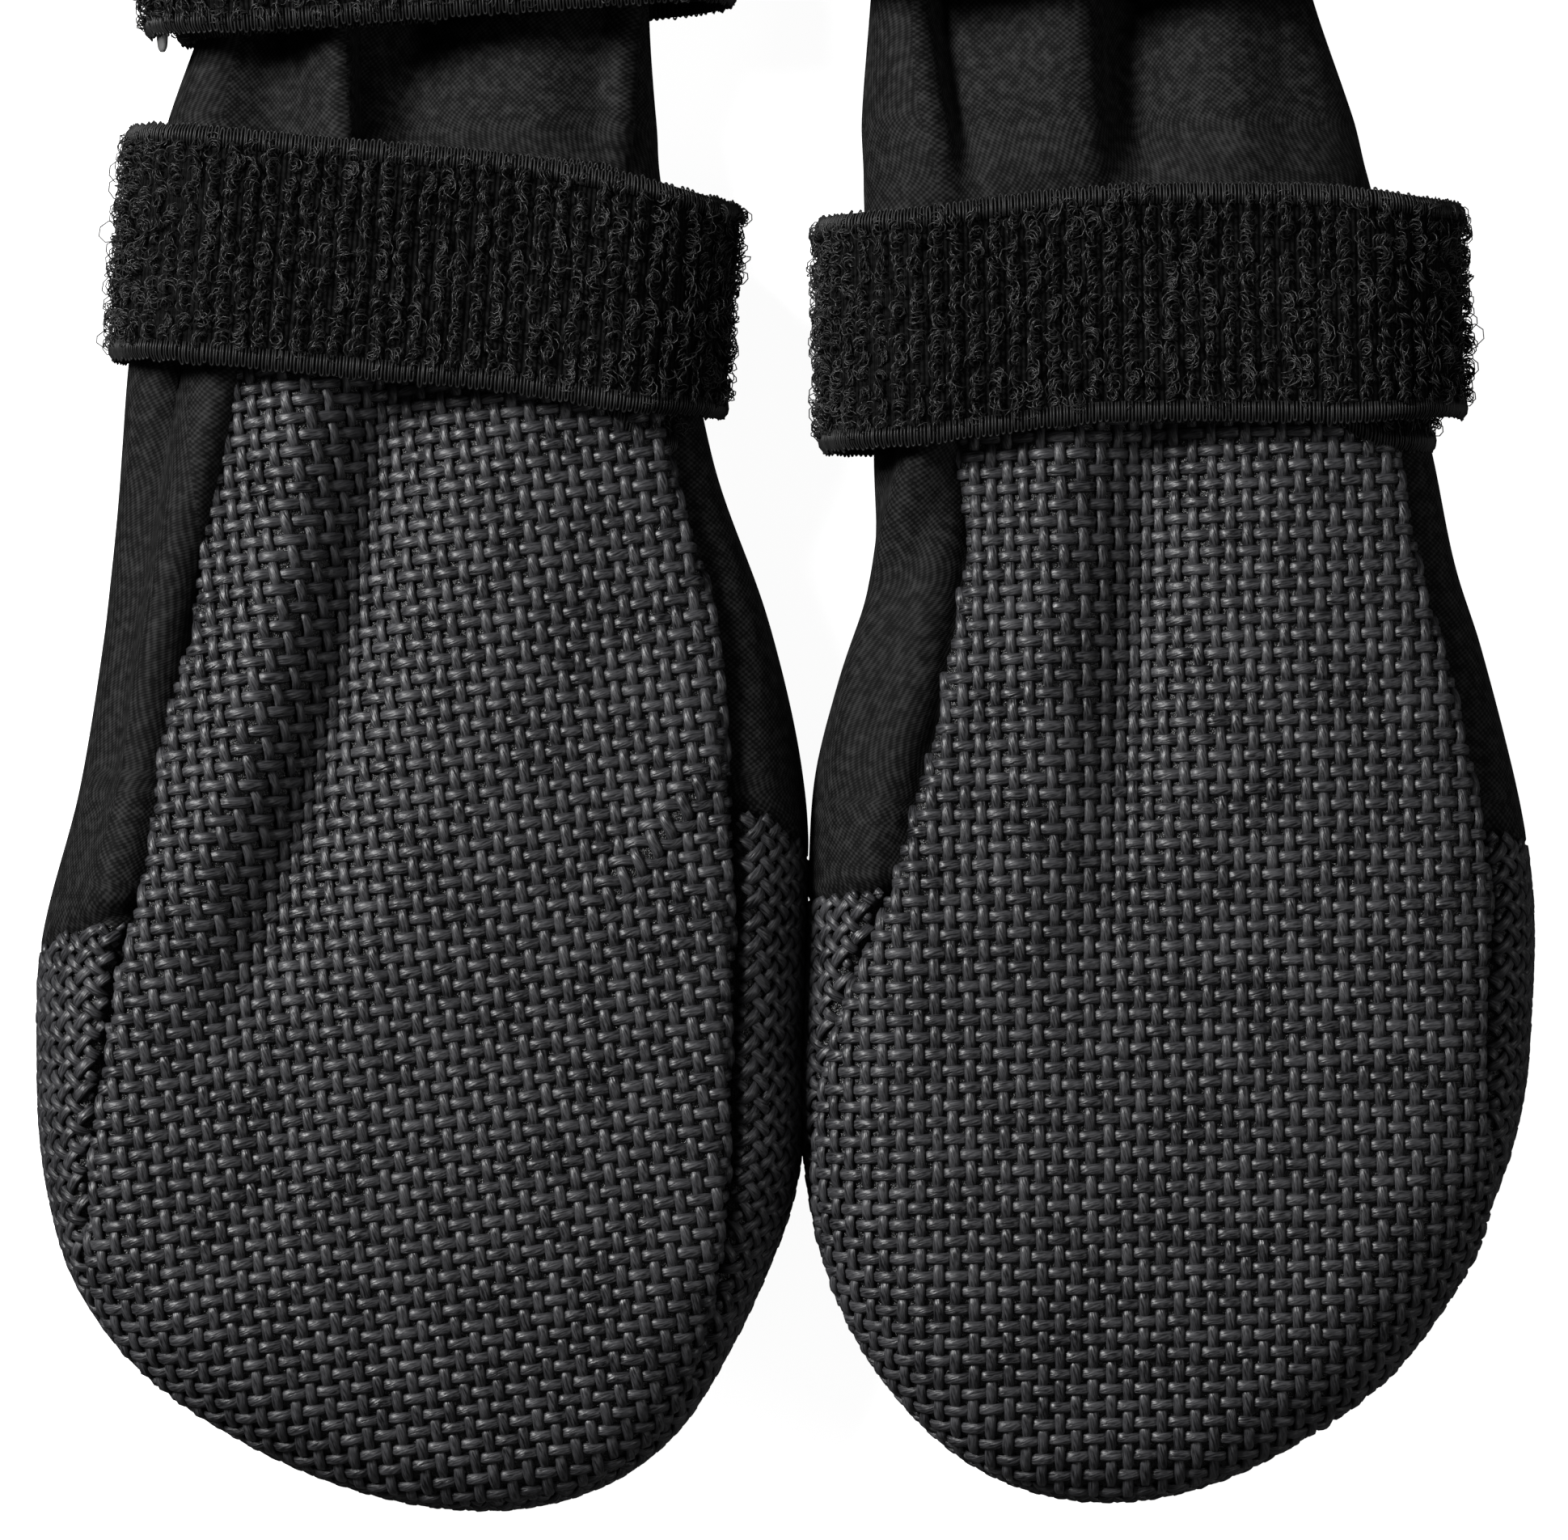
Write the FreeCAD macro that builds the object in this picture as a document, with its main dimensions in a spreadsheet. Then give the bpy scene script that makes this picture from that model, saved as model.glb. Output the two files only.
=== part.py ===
"""A pair of fabric paw boots, lying side by side with their soles up.

Frame: X runs across the pair, +Y from the toes to the leg openings, and Z is up from the
surface that the boots lie on. Each boot is a foot pocket (sole panel, toe cap and softshell
upper), a softshell leg that bends at the ankle, and two hook-and-loop straps.
Millimetres and degrees throughout.
"""
import math
import os

import FreeCAD
import Part
import Sketcher

QUARTER_TURN = math.pi / 2

DRIVING_SIZES = [
    # alias, value, what it is
    ("tape_width", 25.0, "width of the hook-and-loop tape"),
    ("tape_thickness", 2.4, "thickness of the tape with its loops"),
    ("hook_thickness", 0.8, "thickness of the moulded hook patch"),
    ("hook_length", 16.0, "length of the hook patch along the tape"),
    ("hook_inset", 3.0, "how much narrower the hook patch is than the tape"),
    ("clearance", 0.3, "air between neighbouring layers"),
    ("cloth_thickness", 1.5, "thickness of every cloth wall"),
    ("foot_length", 149.0, "toe tip to the end of the foot pocket"),
    ("foot_height", 26.0, "height of the foot pocket at the ball"),
    ("ankle_height", 18.0, "height inside the ankle strap's ring"),
    ("ankle_slack", 0.8, "air between the pocket and the ankle strap below it"),
    ("sole_margin", 8.5, "side wall seen outside the sole panel at the ball"),
    ("sole_toe_margin", 5.0, "toe cap seen outside the sole panel at the toe"),
    ("sole_top_half", 21.5, "half width of the sole panel at the ankle strap"),
    ("cap_seam_from_toe", 74.0, "toe tip to the toe cap's seam at the sole"),
    ("cap_seam_slope", 37.0, "lean of the toe cap's seam, in degrees"),
    ("cap_seam_yaw", 7.0, "turn of the toe cap's seam about Z, in degrees"),
    ("bend_gap", 3.2, "slack cloth between foot pocket and leg"),
    ("leg_width", 51.0, "outer width of the leg lying flat"),
    ("leg_cuff_width", 45.0, "outer width of the leg where the cuff strap gathers it"),
    ("leg_opening_width", 49.0, "outer width of the leg at its opening"),
    ("leg_height", 13.0, "outer height of the leg lying flat"),
    ("collar_length", 3.0, "full-width stretch of the leg above the bend"),
    ("leg_top", 98.5, "place of the leg opening along Y"),
    ("hem_width", 6.0, "width of the hem round the leg opening"),
]

BOOT_SIZES = {
    # alias: (left boot, right boot, what it is)
    "centre_x": (-39.2, 42.5, "middle of the boot at the ball"),
    "toe_y": (-100.0, -99.0, "place of the toe tip"),
    "ball_half": (42.2, 39.0, "half width of the foot at the ball"),
    "toe_lean": (7.0, -3.0, "sideways offset of the toe tip"),
    "leg_lean": (-1.6, -7.2, "sideways offset of the leg"),
    "sole_turn": (-2.9, -1.4, "turn of the sole panel about Z at the toe"),
    "cuff_lean": (2.8, -2.3, "sideways offset of the cuff from the leg"),
    "ankle_ring_width": (69.8, 72.9, "outer width of the ankle strap's ring"),
    "ankle_strap_x": (-39.0, 39.1, "middle of the ankle strap"),
    "ankle_strap_y": (34.8, 31.4, "middle of the ankle strap"),
    "ankle_strap_tilt": (-5.0, 1.5, "turn of the ankle strap about Z"),
    "cuff_ring_width": (67.0, 62.0, "outer width of the cuff strap's ring"),
    "cuff_strap_x": (-38.5, 32.5, "middle of the cuff strap"),
    "cuff_strap_y": (75.0, 79.0, "middle of the cuff strap"),
    "cuff_strap_tilt": (4.0, 0.0, "turn of the cuff strap about Z"),
}

# The foot pocket's cross-sections, from the toe tip to the ankle:
# name, share of foot_length, share of the ball's half width, share of the ankle's rise off
# the floor, top as a share of foot_height, share of toe_lean, share of leg_lean
STATIONS = [
    ("tip", 0.010, 0.26, 2.6, 0.58, 1.00, 0.00),
    ("toe", 0.055, 0.56, 0.9, 0.76, 0.80, 0.00),
    ("vamp", 0.125, 0.81, 0.25, 0.92, 0.35, 0.00),
    ("forefoot", 0.220, 0.940, 0.08, 0.99, 0.00, 0.00),
    ("ball", 0.325, 0.990, 0.05, 1.00, 0.00, 0.00),
    ("waist", 0.430, 0.990, 0.05, 0.99, 0.00, 0.00),
    ("arch", 0.540, 0.935, 0.15, 0.95, 0.00, 0.00),
    ("instep", 0.650, 0.860, 0.4, 0.87, 0.00, 0.15),
    ("heel", 0.745, 0.760, 0.8, 0.78, 0.00, 0.35),
    ("strap_start", 0.830, 0.655, 1.0, 0.7192, 0.00, 0.65),
    ("strap_finish", 0.915, 0.630, 1.0, 0.7192, 0.00, 0.85),
    ("bend", 1.000, 0.615, 1.0, 0.7192, 0.00, 1.00),
]

document = FreeCAD.newDocument("PawBoots")
sizes = document.addObject("Spreadsheet::Sheet", "Sizes")


def fill_sheet():
    """Write every driving size, its alias and its meaning into the spreadsheet."""
    rows = list(DRIVING_SIZES)
    for alias, (left_value, right_value, meaning) in BOOT_SIZES.items():
        rows.append((f"left_{alias}", left_value, meaning + ", left boot"))
        rows.append((f"right_{alias}", right_value, meaning + ", right boot"))
    for row, (alias, value, meaning) in enumerate(rows, start=1):
        sizes.set(f"A{row}", meaning)
        sizes.set(f"B{row}", str(value))
        sizes.setAlias(f"B{row}", alias)
    document.recompute()


def bind(thing, bindings):
    """Bind each named property of a document object to an expression of the sheet."""
    for name, expression in bindings.items():
        thing.setExpression(name, expression)


def named(thing, label):
    """Give a finished sub-part the label that names its file."""
    thing.Label = label
    return thing


# ---------------------------------------------------------------- cross-sections and tubes

def draw_stadium(sketch):
    """Draw a flattened ring: two straight runs joined by two half circles."""
    half, radius = 10.0, 5.0
    up = FreeCAD.Vector(0, 0, 1)
    top = Part.LineSegment(FreeCAD.Vector(half, radius, 0), FreeCAD.Vector(-half, radius, 0))
    bottom = Part.LineSegment(FreeCAD.Vector(-half, -radius, 0), FreeCAD.Vector(half, -radius, 0))
    left_circle = Part.Circle(FreeCAD.Vector(-half, 0, 0), up, radius)
    right_circle = Part.Circle(FreeCAD.Vector(half, 0, 0), up, radius)
    left = Part.ArcOfCircle(left_circle, QUARTER_TURN, 3 * QUARTER_TURN)
    right = Part.ArcOfCircle(right_circle, -QUARTER_TURN, QUARTER_TURN)
    sketch.addGeometry([top, left, bottom, right], False)
    sketch.addConstraint([
        Sketcher.Constraint("Tangent", 0, 2, 1, 1),
        Sketcher.Constraint("Tangent", 1, 2, 2, 1),
        Sketcher.Constraint("Tangent", 2, 2, 3, 1),
        Sketcher.Constraint("Tangent", 3, 2, 0, 1),
        Sketcher.Constraint("Equal", 1, 3),
        Sketcher.Constraint("Symmetric", 1, 3, 3, 3, -1, 1),
        Sketcher.Constraint("Horizontal", 0),
    ])
    straight = sketch.addConstraint(Sketcher.Constraint("DistanceX", 1, 3, 3, 3, 2 * half))
    turn = sketch.addConstraint(Sketcher.Constraint("Radius", 1, radius))
    sketch.renameConstraint(straight, "straight")
    sketch.renameConstraint(turn, "turn")


def cross_section(name, half_width, low, high, inset, centre_x, along_y):
    """A stadium standing across the boot; every argument but the name is an expression."""
    sketch = document.addObject("Sketcher::SketchObject", name)
    sketch.Placement.Rotation = FreeCAD.Rotation(FreeCAD.Vector(1, 0, 0), 90)
    draw_stadium(sketch)
    bind(sketch, {
        "Constraints.turn": f"(({high}) - ({low})) / 2 - ({inset})",
        "Constraints.straight": f"2 * ({half_width}) - (({high}) - ({low}))",
        "Placement.Base.x": centre_x,
        "Placement.Base.y": along_y,
        "Placement.Base.z": f"(({high}) + ({low})) / 2",
    })
    return sketch


def loft(name, sections):
    """A closed solid through the cross-sections."""
    skin = document.addObject("Part::Loft", name)
    skin.Sections = sections
    skin.Solid = True
    skin.Ruled = False
    return skin


def boolean(kind, name, base, tool):
    """Part::Cut or Part::Common of two document objects."""
    result = document.addObject(kind, name)
    result.Base = base
    result.Tool = tool
    return result


# ---------------------------------------------------------------- foot pocket

ANKLE_LOW = "(Sizes.tape_thickness + Sizes.clearance + Sizes.ankle_slack)"
OUTER_TIP = 0.010       # first section of the outer skin, as a share of foot_length
INNER_TIP = 0.022       # the same for the inner skin, so the toe end stays closed
OPEN_END_REACH = 2.0    # how far an inner skin runs past an open end
CUTTER_REACH = 300.0    # larger than the boot every way


def foot_solid(side, name, inset, tip_share, end_extra):
    """The foot pocket's skin, drawn in by inset, as a solid."""
    sections = []
    for station, along, wide, rise, top, toe_share, leg_share in STATIONS:
        share = tip_share if station == "tip" else along
        extra = end_extra if station == "bend" else 0.0
        sections.append(cross_section(
            f"{name}_{station}",
            half_width=f"Sizes.{side}_ball_half * {wide}",
            low=f"{ANKLE_LOW} * {rise}",
            high=f"Sizes.foot_height * {top}",
            inset=inset,
            centre_x=(f"Sizes.{side}_centre_x + Sizes.{side}_toe_lean * {toe_share}"
                      f" + Sizes.{side}_leg_lean * {leg_share}"),
            along_y=f"Sizes.{side}_toe_y + Sizes.foot_length * {share} + {extra}",
        ))
    return loft(name, sections)


def foot_shell(side):
    """The pocket's cloth wall: closed at the toe and open at the ankle."""
    outer = foot_solid(side, f"{side}_foot_outer", "0", OUTER_TIP, 0.0)
    inner = foot_solid(side, f"{side}_foot_inner", "Sizes.cloth_thickness", INNER_TIP, OPEN_END_REACH)
    return boolean("Part::Cut", f"{side}_foot_shell", outer, inner)


def sole_cutter(side):
    """An upright prism over the sole panel: tapered sides and a round toe."""
    sketch = document.addObject("Sketcher::SketchObject", f"{side}_sole_outline")
    arc_circle = Part.Circle(FreeCAD.Vector(0, 33, 0), FreeCAD.Vector(0, 0, 1), 30)
    toe = Part.ArcOfCircle(arc_circle, 3.3, 6.1)
    top_left = FreeCAD.Vector(-20, 150, 0)
    top_right = FreeCAD.Vector(20, 150, 0)
    side_left = Part.LineSegment(top_left, toe.StartPoint)
    side_right = Part.LineSegment(toe.EndPoint, top_right)
    across = Part.LineSegment(top_right, top_left)
    sketch.addGeometry([side_left, toe, side_right, across], False)
    sketch.addConstraint([
        Sketcher.Constraint("Tangent", 0, 2, 1, 1),
        Sketcher.Constraint("Tangent", 1, 2, 2, 1),
        Sketcher.Constraint("Coincident", 2, 2, 3, 1),
        Sketcher.Constraint("Coincident", 3, 2, 0, 1),
        Sketcher.Constraint("Symmetric", 0, 1, 2, 2, -2),
        Sketcher.Constraint("PointOnObject", 1, 3, -2),
    ])
    radius = sketch.addConstraint(Sketcher.Constraint("Radius", 1, 30.0))
    centre = sketch.addConstraint(Sketcher.Constraint("DistanceY", -1, 1, 1, 3, 33.0))
    reach = sketch.addConstraint(Sketcher.Constraint("DistanceY", -1, 1, 0, 1, 150.0))
    width = sketch.addConstraint(Sketcher.Constraint("DistanceX", 3, 2, 3, 1, 40.0))
    sketch.renameConstraint(radius, "toe_radius")
    sketch.renameConstraint(centre, "toe_centre")
    sketch.renameConstraint(reach, "reach")
    sketch.renameConstraint(width, "top_width")
    bind(sketch, {
        "Constraints.toe_radius": f"Sizes.{side}_ball_half - Sizes.sole_margin",
        "Constraints.toe_centre": f"Sizes.{side}_ball_half - Sizes.sole_margin + Sizes.sole_toe_margin",
        "Constraints.reach": "Sizes.foot_length + 2",
        "Constraints.top_width": "2 * Sizes.sole_top_half",
        "Placement": (f"placement(vector(Sizes.{side}_centre_x; Sizes.{side}_toe_y; Sizes.foot_height / 2);"
                      f" rotation(vector(0; 0; 1); Sizes.{side}_sole_turn))"),
    })
    prism = document.addObject("Part::Extrusion", f"{side}_sole_prism")
    prism.Base = sketch
    prism.DirMode = "Custom"
    prism.Dir = FreeCAD.Vector(0, 0, 1)
    prism.Solid = True
    bind(prism, {"LengthFwd": "Sizes.foot_height"})
    return prism


def cap_cutter(side):
    """Everything on the toe's side of the cap seam, which leans forward under the foot."""
    corner = FreeCAD.Vector(-CUTTER_REACH / 2, -CUTTER_REACH, -CUTTER_REACH / 2)
    lean = FreeCAD.Rotation(FreeCAD.Vector(1, 0, 0), -sizes.cap_seam_slope)
    yaw = FreeCAD.Rotation(FreeCAD.Vector(0, 0, 1), sizes.cap_seam_yaw)
    cutter = document.addObject("Part::Feature", f"{side}_cap_cutter")
    cutter.Shape = Part.makeBox(CUTTER_REACH, CUTTER_REACH, CUTTER_REACH, corner)
    cutter.Placement.Rotation = yaw.multiply(lean)
    bind(cutter, {
        "Placement.Base.x": f"Sizes.{side}_centre_x",
        "Placement.Base.y": f"Sizes.{side}_toe_y + Sizes.cap_seam_from_toe",
        "Placement.Base.z": "Sizes.foot_height",
    })
    return cutter


def foot_pieces(side):
    """Sole panel, toe cap and softshell upper, cut from one pocket along their seams."""
    shell = foot_shell(side)
    sole_side = sole_cutter(side)
    toe_side = cap_cutter(side)
    walls = boolean("Part::Cut", f"{side}_foot_walls", shell, sole_side)
    return [
        named(boolean("Part::Common", f"{side}_sole", shell, sole_side), f"{side}_sole_panel"),
        named(boolean("Part::Common", f"{side}_cap", walls, toe_side), f"{side}_toe_cap"),
        named(boolean("Part::Cut", f"{side}_upper", walls, toe_side), f"{side}_foot_upper"),
    ]


# ---------------------------------------------------------------- leg

LEG_LOW = "(Sizes.tape_thickness + Sizes.clearance)"
ROOM = 5.0              # how far a cutting box stands past the cloth it keeps


def bend_y(side):
    """Where the leg starts, just past the foot pocket, as an expression."""
    return f"(Sizes.{side}_toe_y + Sizes.foot_length + Sizes.bend_gap)"


def leg_tube(side, name, inset, end_extra):
    """The leg lying flat, drawn in by inset and made longer by end_extra, as a solid."""
    bend = bend_y(side)
    leg_x = f"Sizes.{side}_centre_x + Sizes.{side}_leg_lean"
    cuff_x = f"{leg_x} + Sizes.{side}_cuff_lean"
    stretches = [
        ("bend", "Sizes.leg_width", leg_x, f"{bend} - {end_extra}"),
        ("collar", "Sizes.leg_width", leg_x, f"{bend} + Sizes.collar_length"),
        ("cuff", "Sizes.leg_cuff_width", cuff_x, f"Sizes.{side}_cuff_strap_y - Sizes.tape_width / 4"),
        ("opening", "Sizes.leg_opening_width", cuff_x, f"Sizes.leg_top + {end_extra}"),
    ]
    sections = [
        cross_section(
            f"{name}_{stretch}",
            half_width=f"{width} / 2",
            low=LEG_LOW,
            high=f"{LEG_LOW} + Sizes.leg_height",
            inset=inset,
            centre_x=centre_x,
            along_y=along_y,
        )
        for stretch, width, centre_x, along_y in stretches
    ]
    return loft(name, sections)


def half_space(side, name, low_y, high_y, low_z, high_z):
    """A wide box that keeps one stretch of the leg; the four limits are expressions."""
    box = document.addObject("Part::Box", name)
    bind(box, {
        "Length": "2 * Sizes.leg_width",
        "Width": f"({high_y}) - ({low_y})",
        "Height": f"({high_z}) - ({low_z})",
        "Placement.Base.x": f"Sizes.{side}_centre_x + Sizes.{side}_leg_lean - Sizes.leg_width",
        "Placement.Base.y": low_y,
        "Placement.Base.z": low_z,
    })
    return box


def leg_pieces(side):
    """Back panel (sole side), front panel, and the doubled hem round the opening."""
    outer = leg_tube(side, f"{side}_leg_outer", "0", 0.0)
    inner = leg_tube(side, f"{side}_leg_inner", "Sizes.cloth_thickness", OPEN_END_REACH)
    wall = boolean("Part::Cut", f"{side}_leg_wall", outer, inner)
    middle = f"{LEG_LOW} + Sizes.leg_height / 2"
    high = f"{LEG_LOW} + Sizes.leg_height + {ROOM}"
    start = f"{bend_y(side)} - {ROOM}"
    hem_start = "Sizes.leg_top - Sizes.hem_width"
    hem_end = f"Sizes.leg_top + {ROOM}"
    back_room = half_space(side, f"{side}_back_room", start, hem_start, middle, high)
    front_room = half_space(side, f"{side}_front_room", start, hem_start, "0", middle)
    hem_room = half_space(side, f"{side}_hem_room", hem_start, hem_end, "0", high)
    return [
        named(boolean("Part::Common", f"{side}_back", wall, back_room), f"{side}_leg_back_panel"),
        named(boolean("Part::Common", f"{side}_front", wall, front_room), f"{side}_leg_front_panel"),
        named(boolean("Part::Common", f"{side}_hem", wall, hem_room), f"{side}_leg_hem"),
    ]


# ---------------------------------------------------------------- straps

def origin_plane(body, role):
    """One of a body's own origin planes, such as XZ_Plane."""
    return next(plane for plane in body.Origin.OriginFeatures if plane.Role == role)


def plane_sketch(body, name, role):
    """An empty sketch on one of the body's own origin planes."""
    sketch = body.newObject("Sketcher::SketchObject", name)
    sketch.AttachmentSupport = [(origin_plane(body, role), "")]
    sketch.MapMode = "FlatFace"
    return sketch


def draw_rectangle(sketch, low_x, high_x, low_y, high_y):
    """Four joined edges: 0 bottom, 1 right, 2 top, 3 left. Constraints set the real size."""
    corners = [
        FreeCAD.Vector(low_x, low_y, 0),
        FreeCAD.Vector(high_x, low_y, 0),
        FreeCAD.Vector(high_x, high_y, 0),
        FreeCAD.Vector(low_x, high_y, 0),
    ]
    edges = [Part.LineSegment(corners[n], corners[(n + 1) % 4]) for n in range(4)]
    sketch.addGeometry(edges, False)
    joins = [Sketcher.Constraint("Coincident", n, 2, (n + 1) % 4, 1) for n in range(4)]
    sketch.addConstraint(joins)


def draw_tape_section(sketch, height):
    """The tape's cross-section, centred on the tape's path at the given height."""
    draw_rectangle(sketch, -12, 12, -1, 1)
    sketch.addConstraint([
        Sketcher.Constraint("Symmetric", 0, 1, 0, 2, -2),
        Sketcher.Constraint("Vertical", 1),
        Sketcher.Constraint("Horizontal", 2),
        Sketcher.Constraint("Vertical", 3),
    ])
    width = sketch.addConstraint(Sketcher.Constraint("DistanceX", 0, 1, 0, 2, 24.0))
    thickness = sketch.addConstraint(Sketcher.Constraint("DistanceY", 1, 1, 1, 2, 2.0))
    low = sketch.addConstraint(Sketcher.Constraint("DistanceY", -1, 1, 0, 1, 1.0))
    sketch.renameConstraint(width, "width")
    sketch.renameConstraint(thickness, "thickness")
    sketch.renameConstraint(low, "low")
    bind(sketch, {
        "Constraints.width": "Sizes.tape_width",
        "Constraints.thickness": "Sizes.tape_thickness",
        "Constraints.low": f"{height} - Sizes.tape_thickness / 2",
    })


def draw_band_path(sketch):
    """Inner layer, turn round the right side, under layer, turn round the left, outer layer."""
    up = FreeCAD.Vector(0, 0, 1)
    right_circle = Part.Circle(FreeCAD.Vector(20, 11, 0), up, 9)
    left_circle = Part.Circle(FreeCAD.Vector(-20, 12, 0), up, 10)
    right_arc = Part.ArcOfCircle(right_circle, -QUARTER_TURN, QUARTER_TURN)
    left_arc = Part.ArcOfCircle(left_circle, QUARTER_TURN, 3 * QUARTER_TURN)
    inner = Part.LineSegment(FreeCAD.Vector(0, 20, 0), FreeCAD.Vector(20, 20, 0))
    under = Part.LineSegment(FreeCAD.Vector(20, 2, 0), FreeCAD.Vector(-20, 2, 0))
    outer = Part.LineSegment(FreeCAD.Vector(-20, 22, 0), FreeCAD.Vector(-1, 22, 0))
    sketch.addGeometry([inner, right_arc, under, left_arc, outer], False)
    sketch.addConstraint([
        Sketcher.Constraint("Tangent", 0, 2, 1, 2),
        Sketcher.Constraint("Tangent", 1, 1, 2, 1),
        Sketcher.Constraint("Tangent", 2, 2, 3, 2),
        Sketcher.Constraint("Tangent", 3, 1, 4, 1),
        Sketcher.Constraint("Horizontal", 0),
        Sketcher.Constraint("Horizontal", 2),
        Sketcher.Constraint("Horizontal", 4),
        Sketcher.Constraint("PointOnObject", 0, 1, -2),
    ])
    lengths = [
        ("under_height", Sketcher.Constraint("DistanceY", -1, 1, 2, 1, 2.0), "{low}"),
        ("inner_height", Sketcher.Constraint("DistanceY", -1, 1, 0, 1, 20.0), "{inner}"),
        ("outer_height", Sketcher.Constraint("DistanceY", -1, 1, 4, 1, 22.0), "{outer}"),
        ("right_reach", Sketcher.Constraint("DistanceX", -1, 1, 1, 3, 20.0), "{right_reach}"),
        ("left_reach", Sketcher.Constraint("DistanceX", 3, 3, -1, 1, 20.0), "{left_reach}"),
        ("peel_gap", Sketcher.Constraint("DistanceX", 4, 2, -1, 1, 1.0), "Sizes.clearance / 2"),
    ]
    return lengths


def draw_end_path(sketch):
    """The free end: along the top from the peel line, then a quarter turn down the side."""
    up = FreeCAD.Vector(0, 0, 1)
    turn = Part.ArcOfCircle(Part.Circle(FreeCAD.Vector(20, 11, 0), up, 11), 0.0, QUARTER_TURN)
    along = Part.LineSegment(FreeCAD.Vector(1, 22, 0), FreeCAD.Vector(20, 22, 0))
    sketch.addGeometry([along, turn], False)
    sketch.addConstraint([
        Sketcher.Constraint("Tangent", 0, 2, 1, 2),
        Sketcher.Constraint("Horizontal", 0),
        Sketcher.Constraint("Horizontal", 1, 3, 1, 1),
    ])
    lengths = [
        ("outer_height", Sketcher.Constraint("DistanceY", -1, 1, 0, 1, 22.0), "{outer}"),
        ("turn_height", Sketcher.Constraint("DistanceY", -1, 1, 1, 3, 11.0), "({low} + {inner}) / 2"),
        ("right_reach", Sketcher.Constraint("DistanceX", -1, 1, 1, 3, 20.0), "{right_reach}"),
        ("peel_gap", Sketcher.Constraint("DistanceX", -1, 1, 0, 1, 1.0), "Sizes.clearance / 2"),
    ]
    return lengths


def strap_levels(tube_height, ring_width):
    """Heights and reaches of the tape's path, as expressions of the sheet."""
    low = "Sizes.tape_thickness / 2"
    inner = f"(1.5 * Sizes.tape_thickness + 2 * Sizes.clearance + {tube_height})"
    layer = "(Sizes.tape_thickness + Sizes.clearance + Sizes.hook_thickness)"
    outer = f"({inner} + {layer})"
    right_turn = f"({outer} - ({low} + {inner}) / 2)"
    left_turn = f"(({outer} - {low}) / 2)"
    half = f"({ring_width} / 2 - Sizes.tape_thickness / 2)"
    return {
        "low": low,
        "inner": inner,
        "outer": outer,
        "right_reach": f"({half} - {right_turn})",
        "left_reach": f"({half} - {left_turn})",
    }


def place_strap_piece(body, side, strap, half_turn):
    """Set a strap's body in its place; a half turn puts the free end on the left."""
    where = f"vector(Sizes.{side}_{strap}_strap_x; Sizes.{side}_{strap}_strap_y; 0)"
    turn = f"rotation(vector(0; 0; 1); Sizes.{side}_{strap}_strap_tilt + {half_turn})"
    bind(body, {"Placement": f"placement({where}; {turn})"})


def tape_body(label, draw_path, levels, start_height, start_x):
    """Tape swept along its path, as a PartDesign body with the peel line at x = 0."""
    body = document.addObject("PartDesign::Body", label)
    path = plane_sketch(body, f"{label}_path", "XZ_Plane")
    lengths = draw_path(path)
    for name, constraint, expression in lengths:
        path.renameConstraint(path.addConstraint(constraint), name)
        bind(path, {f"Constraints.{name}": expression.format(**levels)})
    section = plane_sketch(body, f"{label}_section", "YZ_Plane")
    draw_tape_section(section, start_height)
    bind(section, {"AttachmentOffset.Base.z": start_x})
    document.recompute()
    tape = body.newObject("PartDesign::AdditivePipe", f"{label}_tape")
    tape.Profile = section
    tape.Spine = (path, [])
    return body


def hook_body(label, levels):
    """The moulded hook patch on the inside of a free end."""
    body = document.addObject("PartDesign::Body", label)
    sketch = plane_sketch(body, f"{label}_outline", "XY_Plane")
    draw_rectangle(sketch, 0, 20, -11, 11)
    sketch.addConstraint([
        Sketcher.Constraint("Horizontal", 0),
        Sketcher.Constraint("Symmetric", 0, 2, 1, 2, -1),
        Sketcher.Constraint("Horizontal", 2),
        Sketcher.Constraint("Vertical", 3),
    ])
    width = sketch.addConstraint(Sketcher.Constraint("DistanceY", 1, 1, 1, 2, 22.0))
    length = sketch.addConstraint(Sketcher.Constraint("DistanceX", 0, 1, 0, 2, 20.0))
    reach = sketch.addConstraint(Sketcher.Constraint("DistanceX", -1, 1, 0, 2, 20.0))
    sketch.renameConstraint(width, "width")
    sketch.renameConstraint(length, "length")
    sketch.renameConstraint(reach, "reach")
    bind(sketch, {
        "Constraints.width": "Sizes.tape_width - Sizes.hook_inset",
        "Constraints.length": "Sizes.hook_length",
        "Constraints.reach": levels["right_reach"],
        "AttachmentOffset.Base.z": f"{levels['outer']} - Sizes.tape_thickness / 2 - Sizes.hook_thickness",
    })
    pad = body.newObject("PartDesign::Pad", f"{label}_pad")
    pad.Profile = sketch
    bind(pad, {"Length": "Sizes.hook_thickness"})
    return body


def strap_pieces(side, strap, tube_height, ring_width, half_turn):
    """A strap: the band round the boot, its free end, and the free end's hook patch."""
    levels = strap_levels(tube_height, ring_width)
    label = f"{side}_{strap}_strap"
    gap = "Sizes.clearance / 2"
    pieces = [
        tape_body(f"{label}_band", draw_band_path, levels, levels["inner"], "0"),
        tape_body(f"{label}_end", draw_end_path, levels, levels["outer"], gap),
        hook_body(f"{label}_hook_patch", levels),
    ]
    for body in pieces:
        place_strap_piece(body, side, strap, half_turn)
    return pieces


# ---------------------------------------------------------------- the pair

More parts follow.
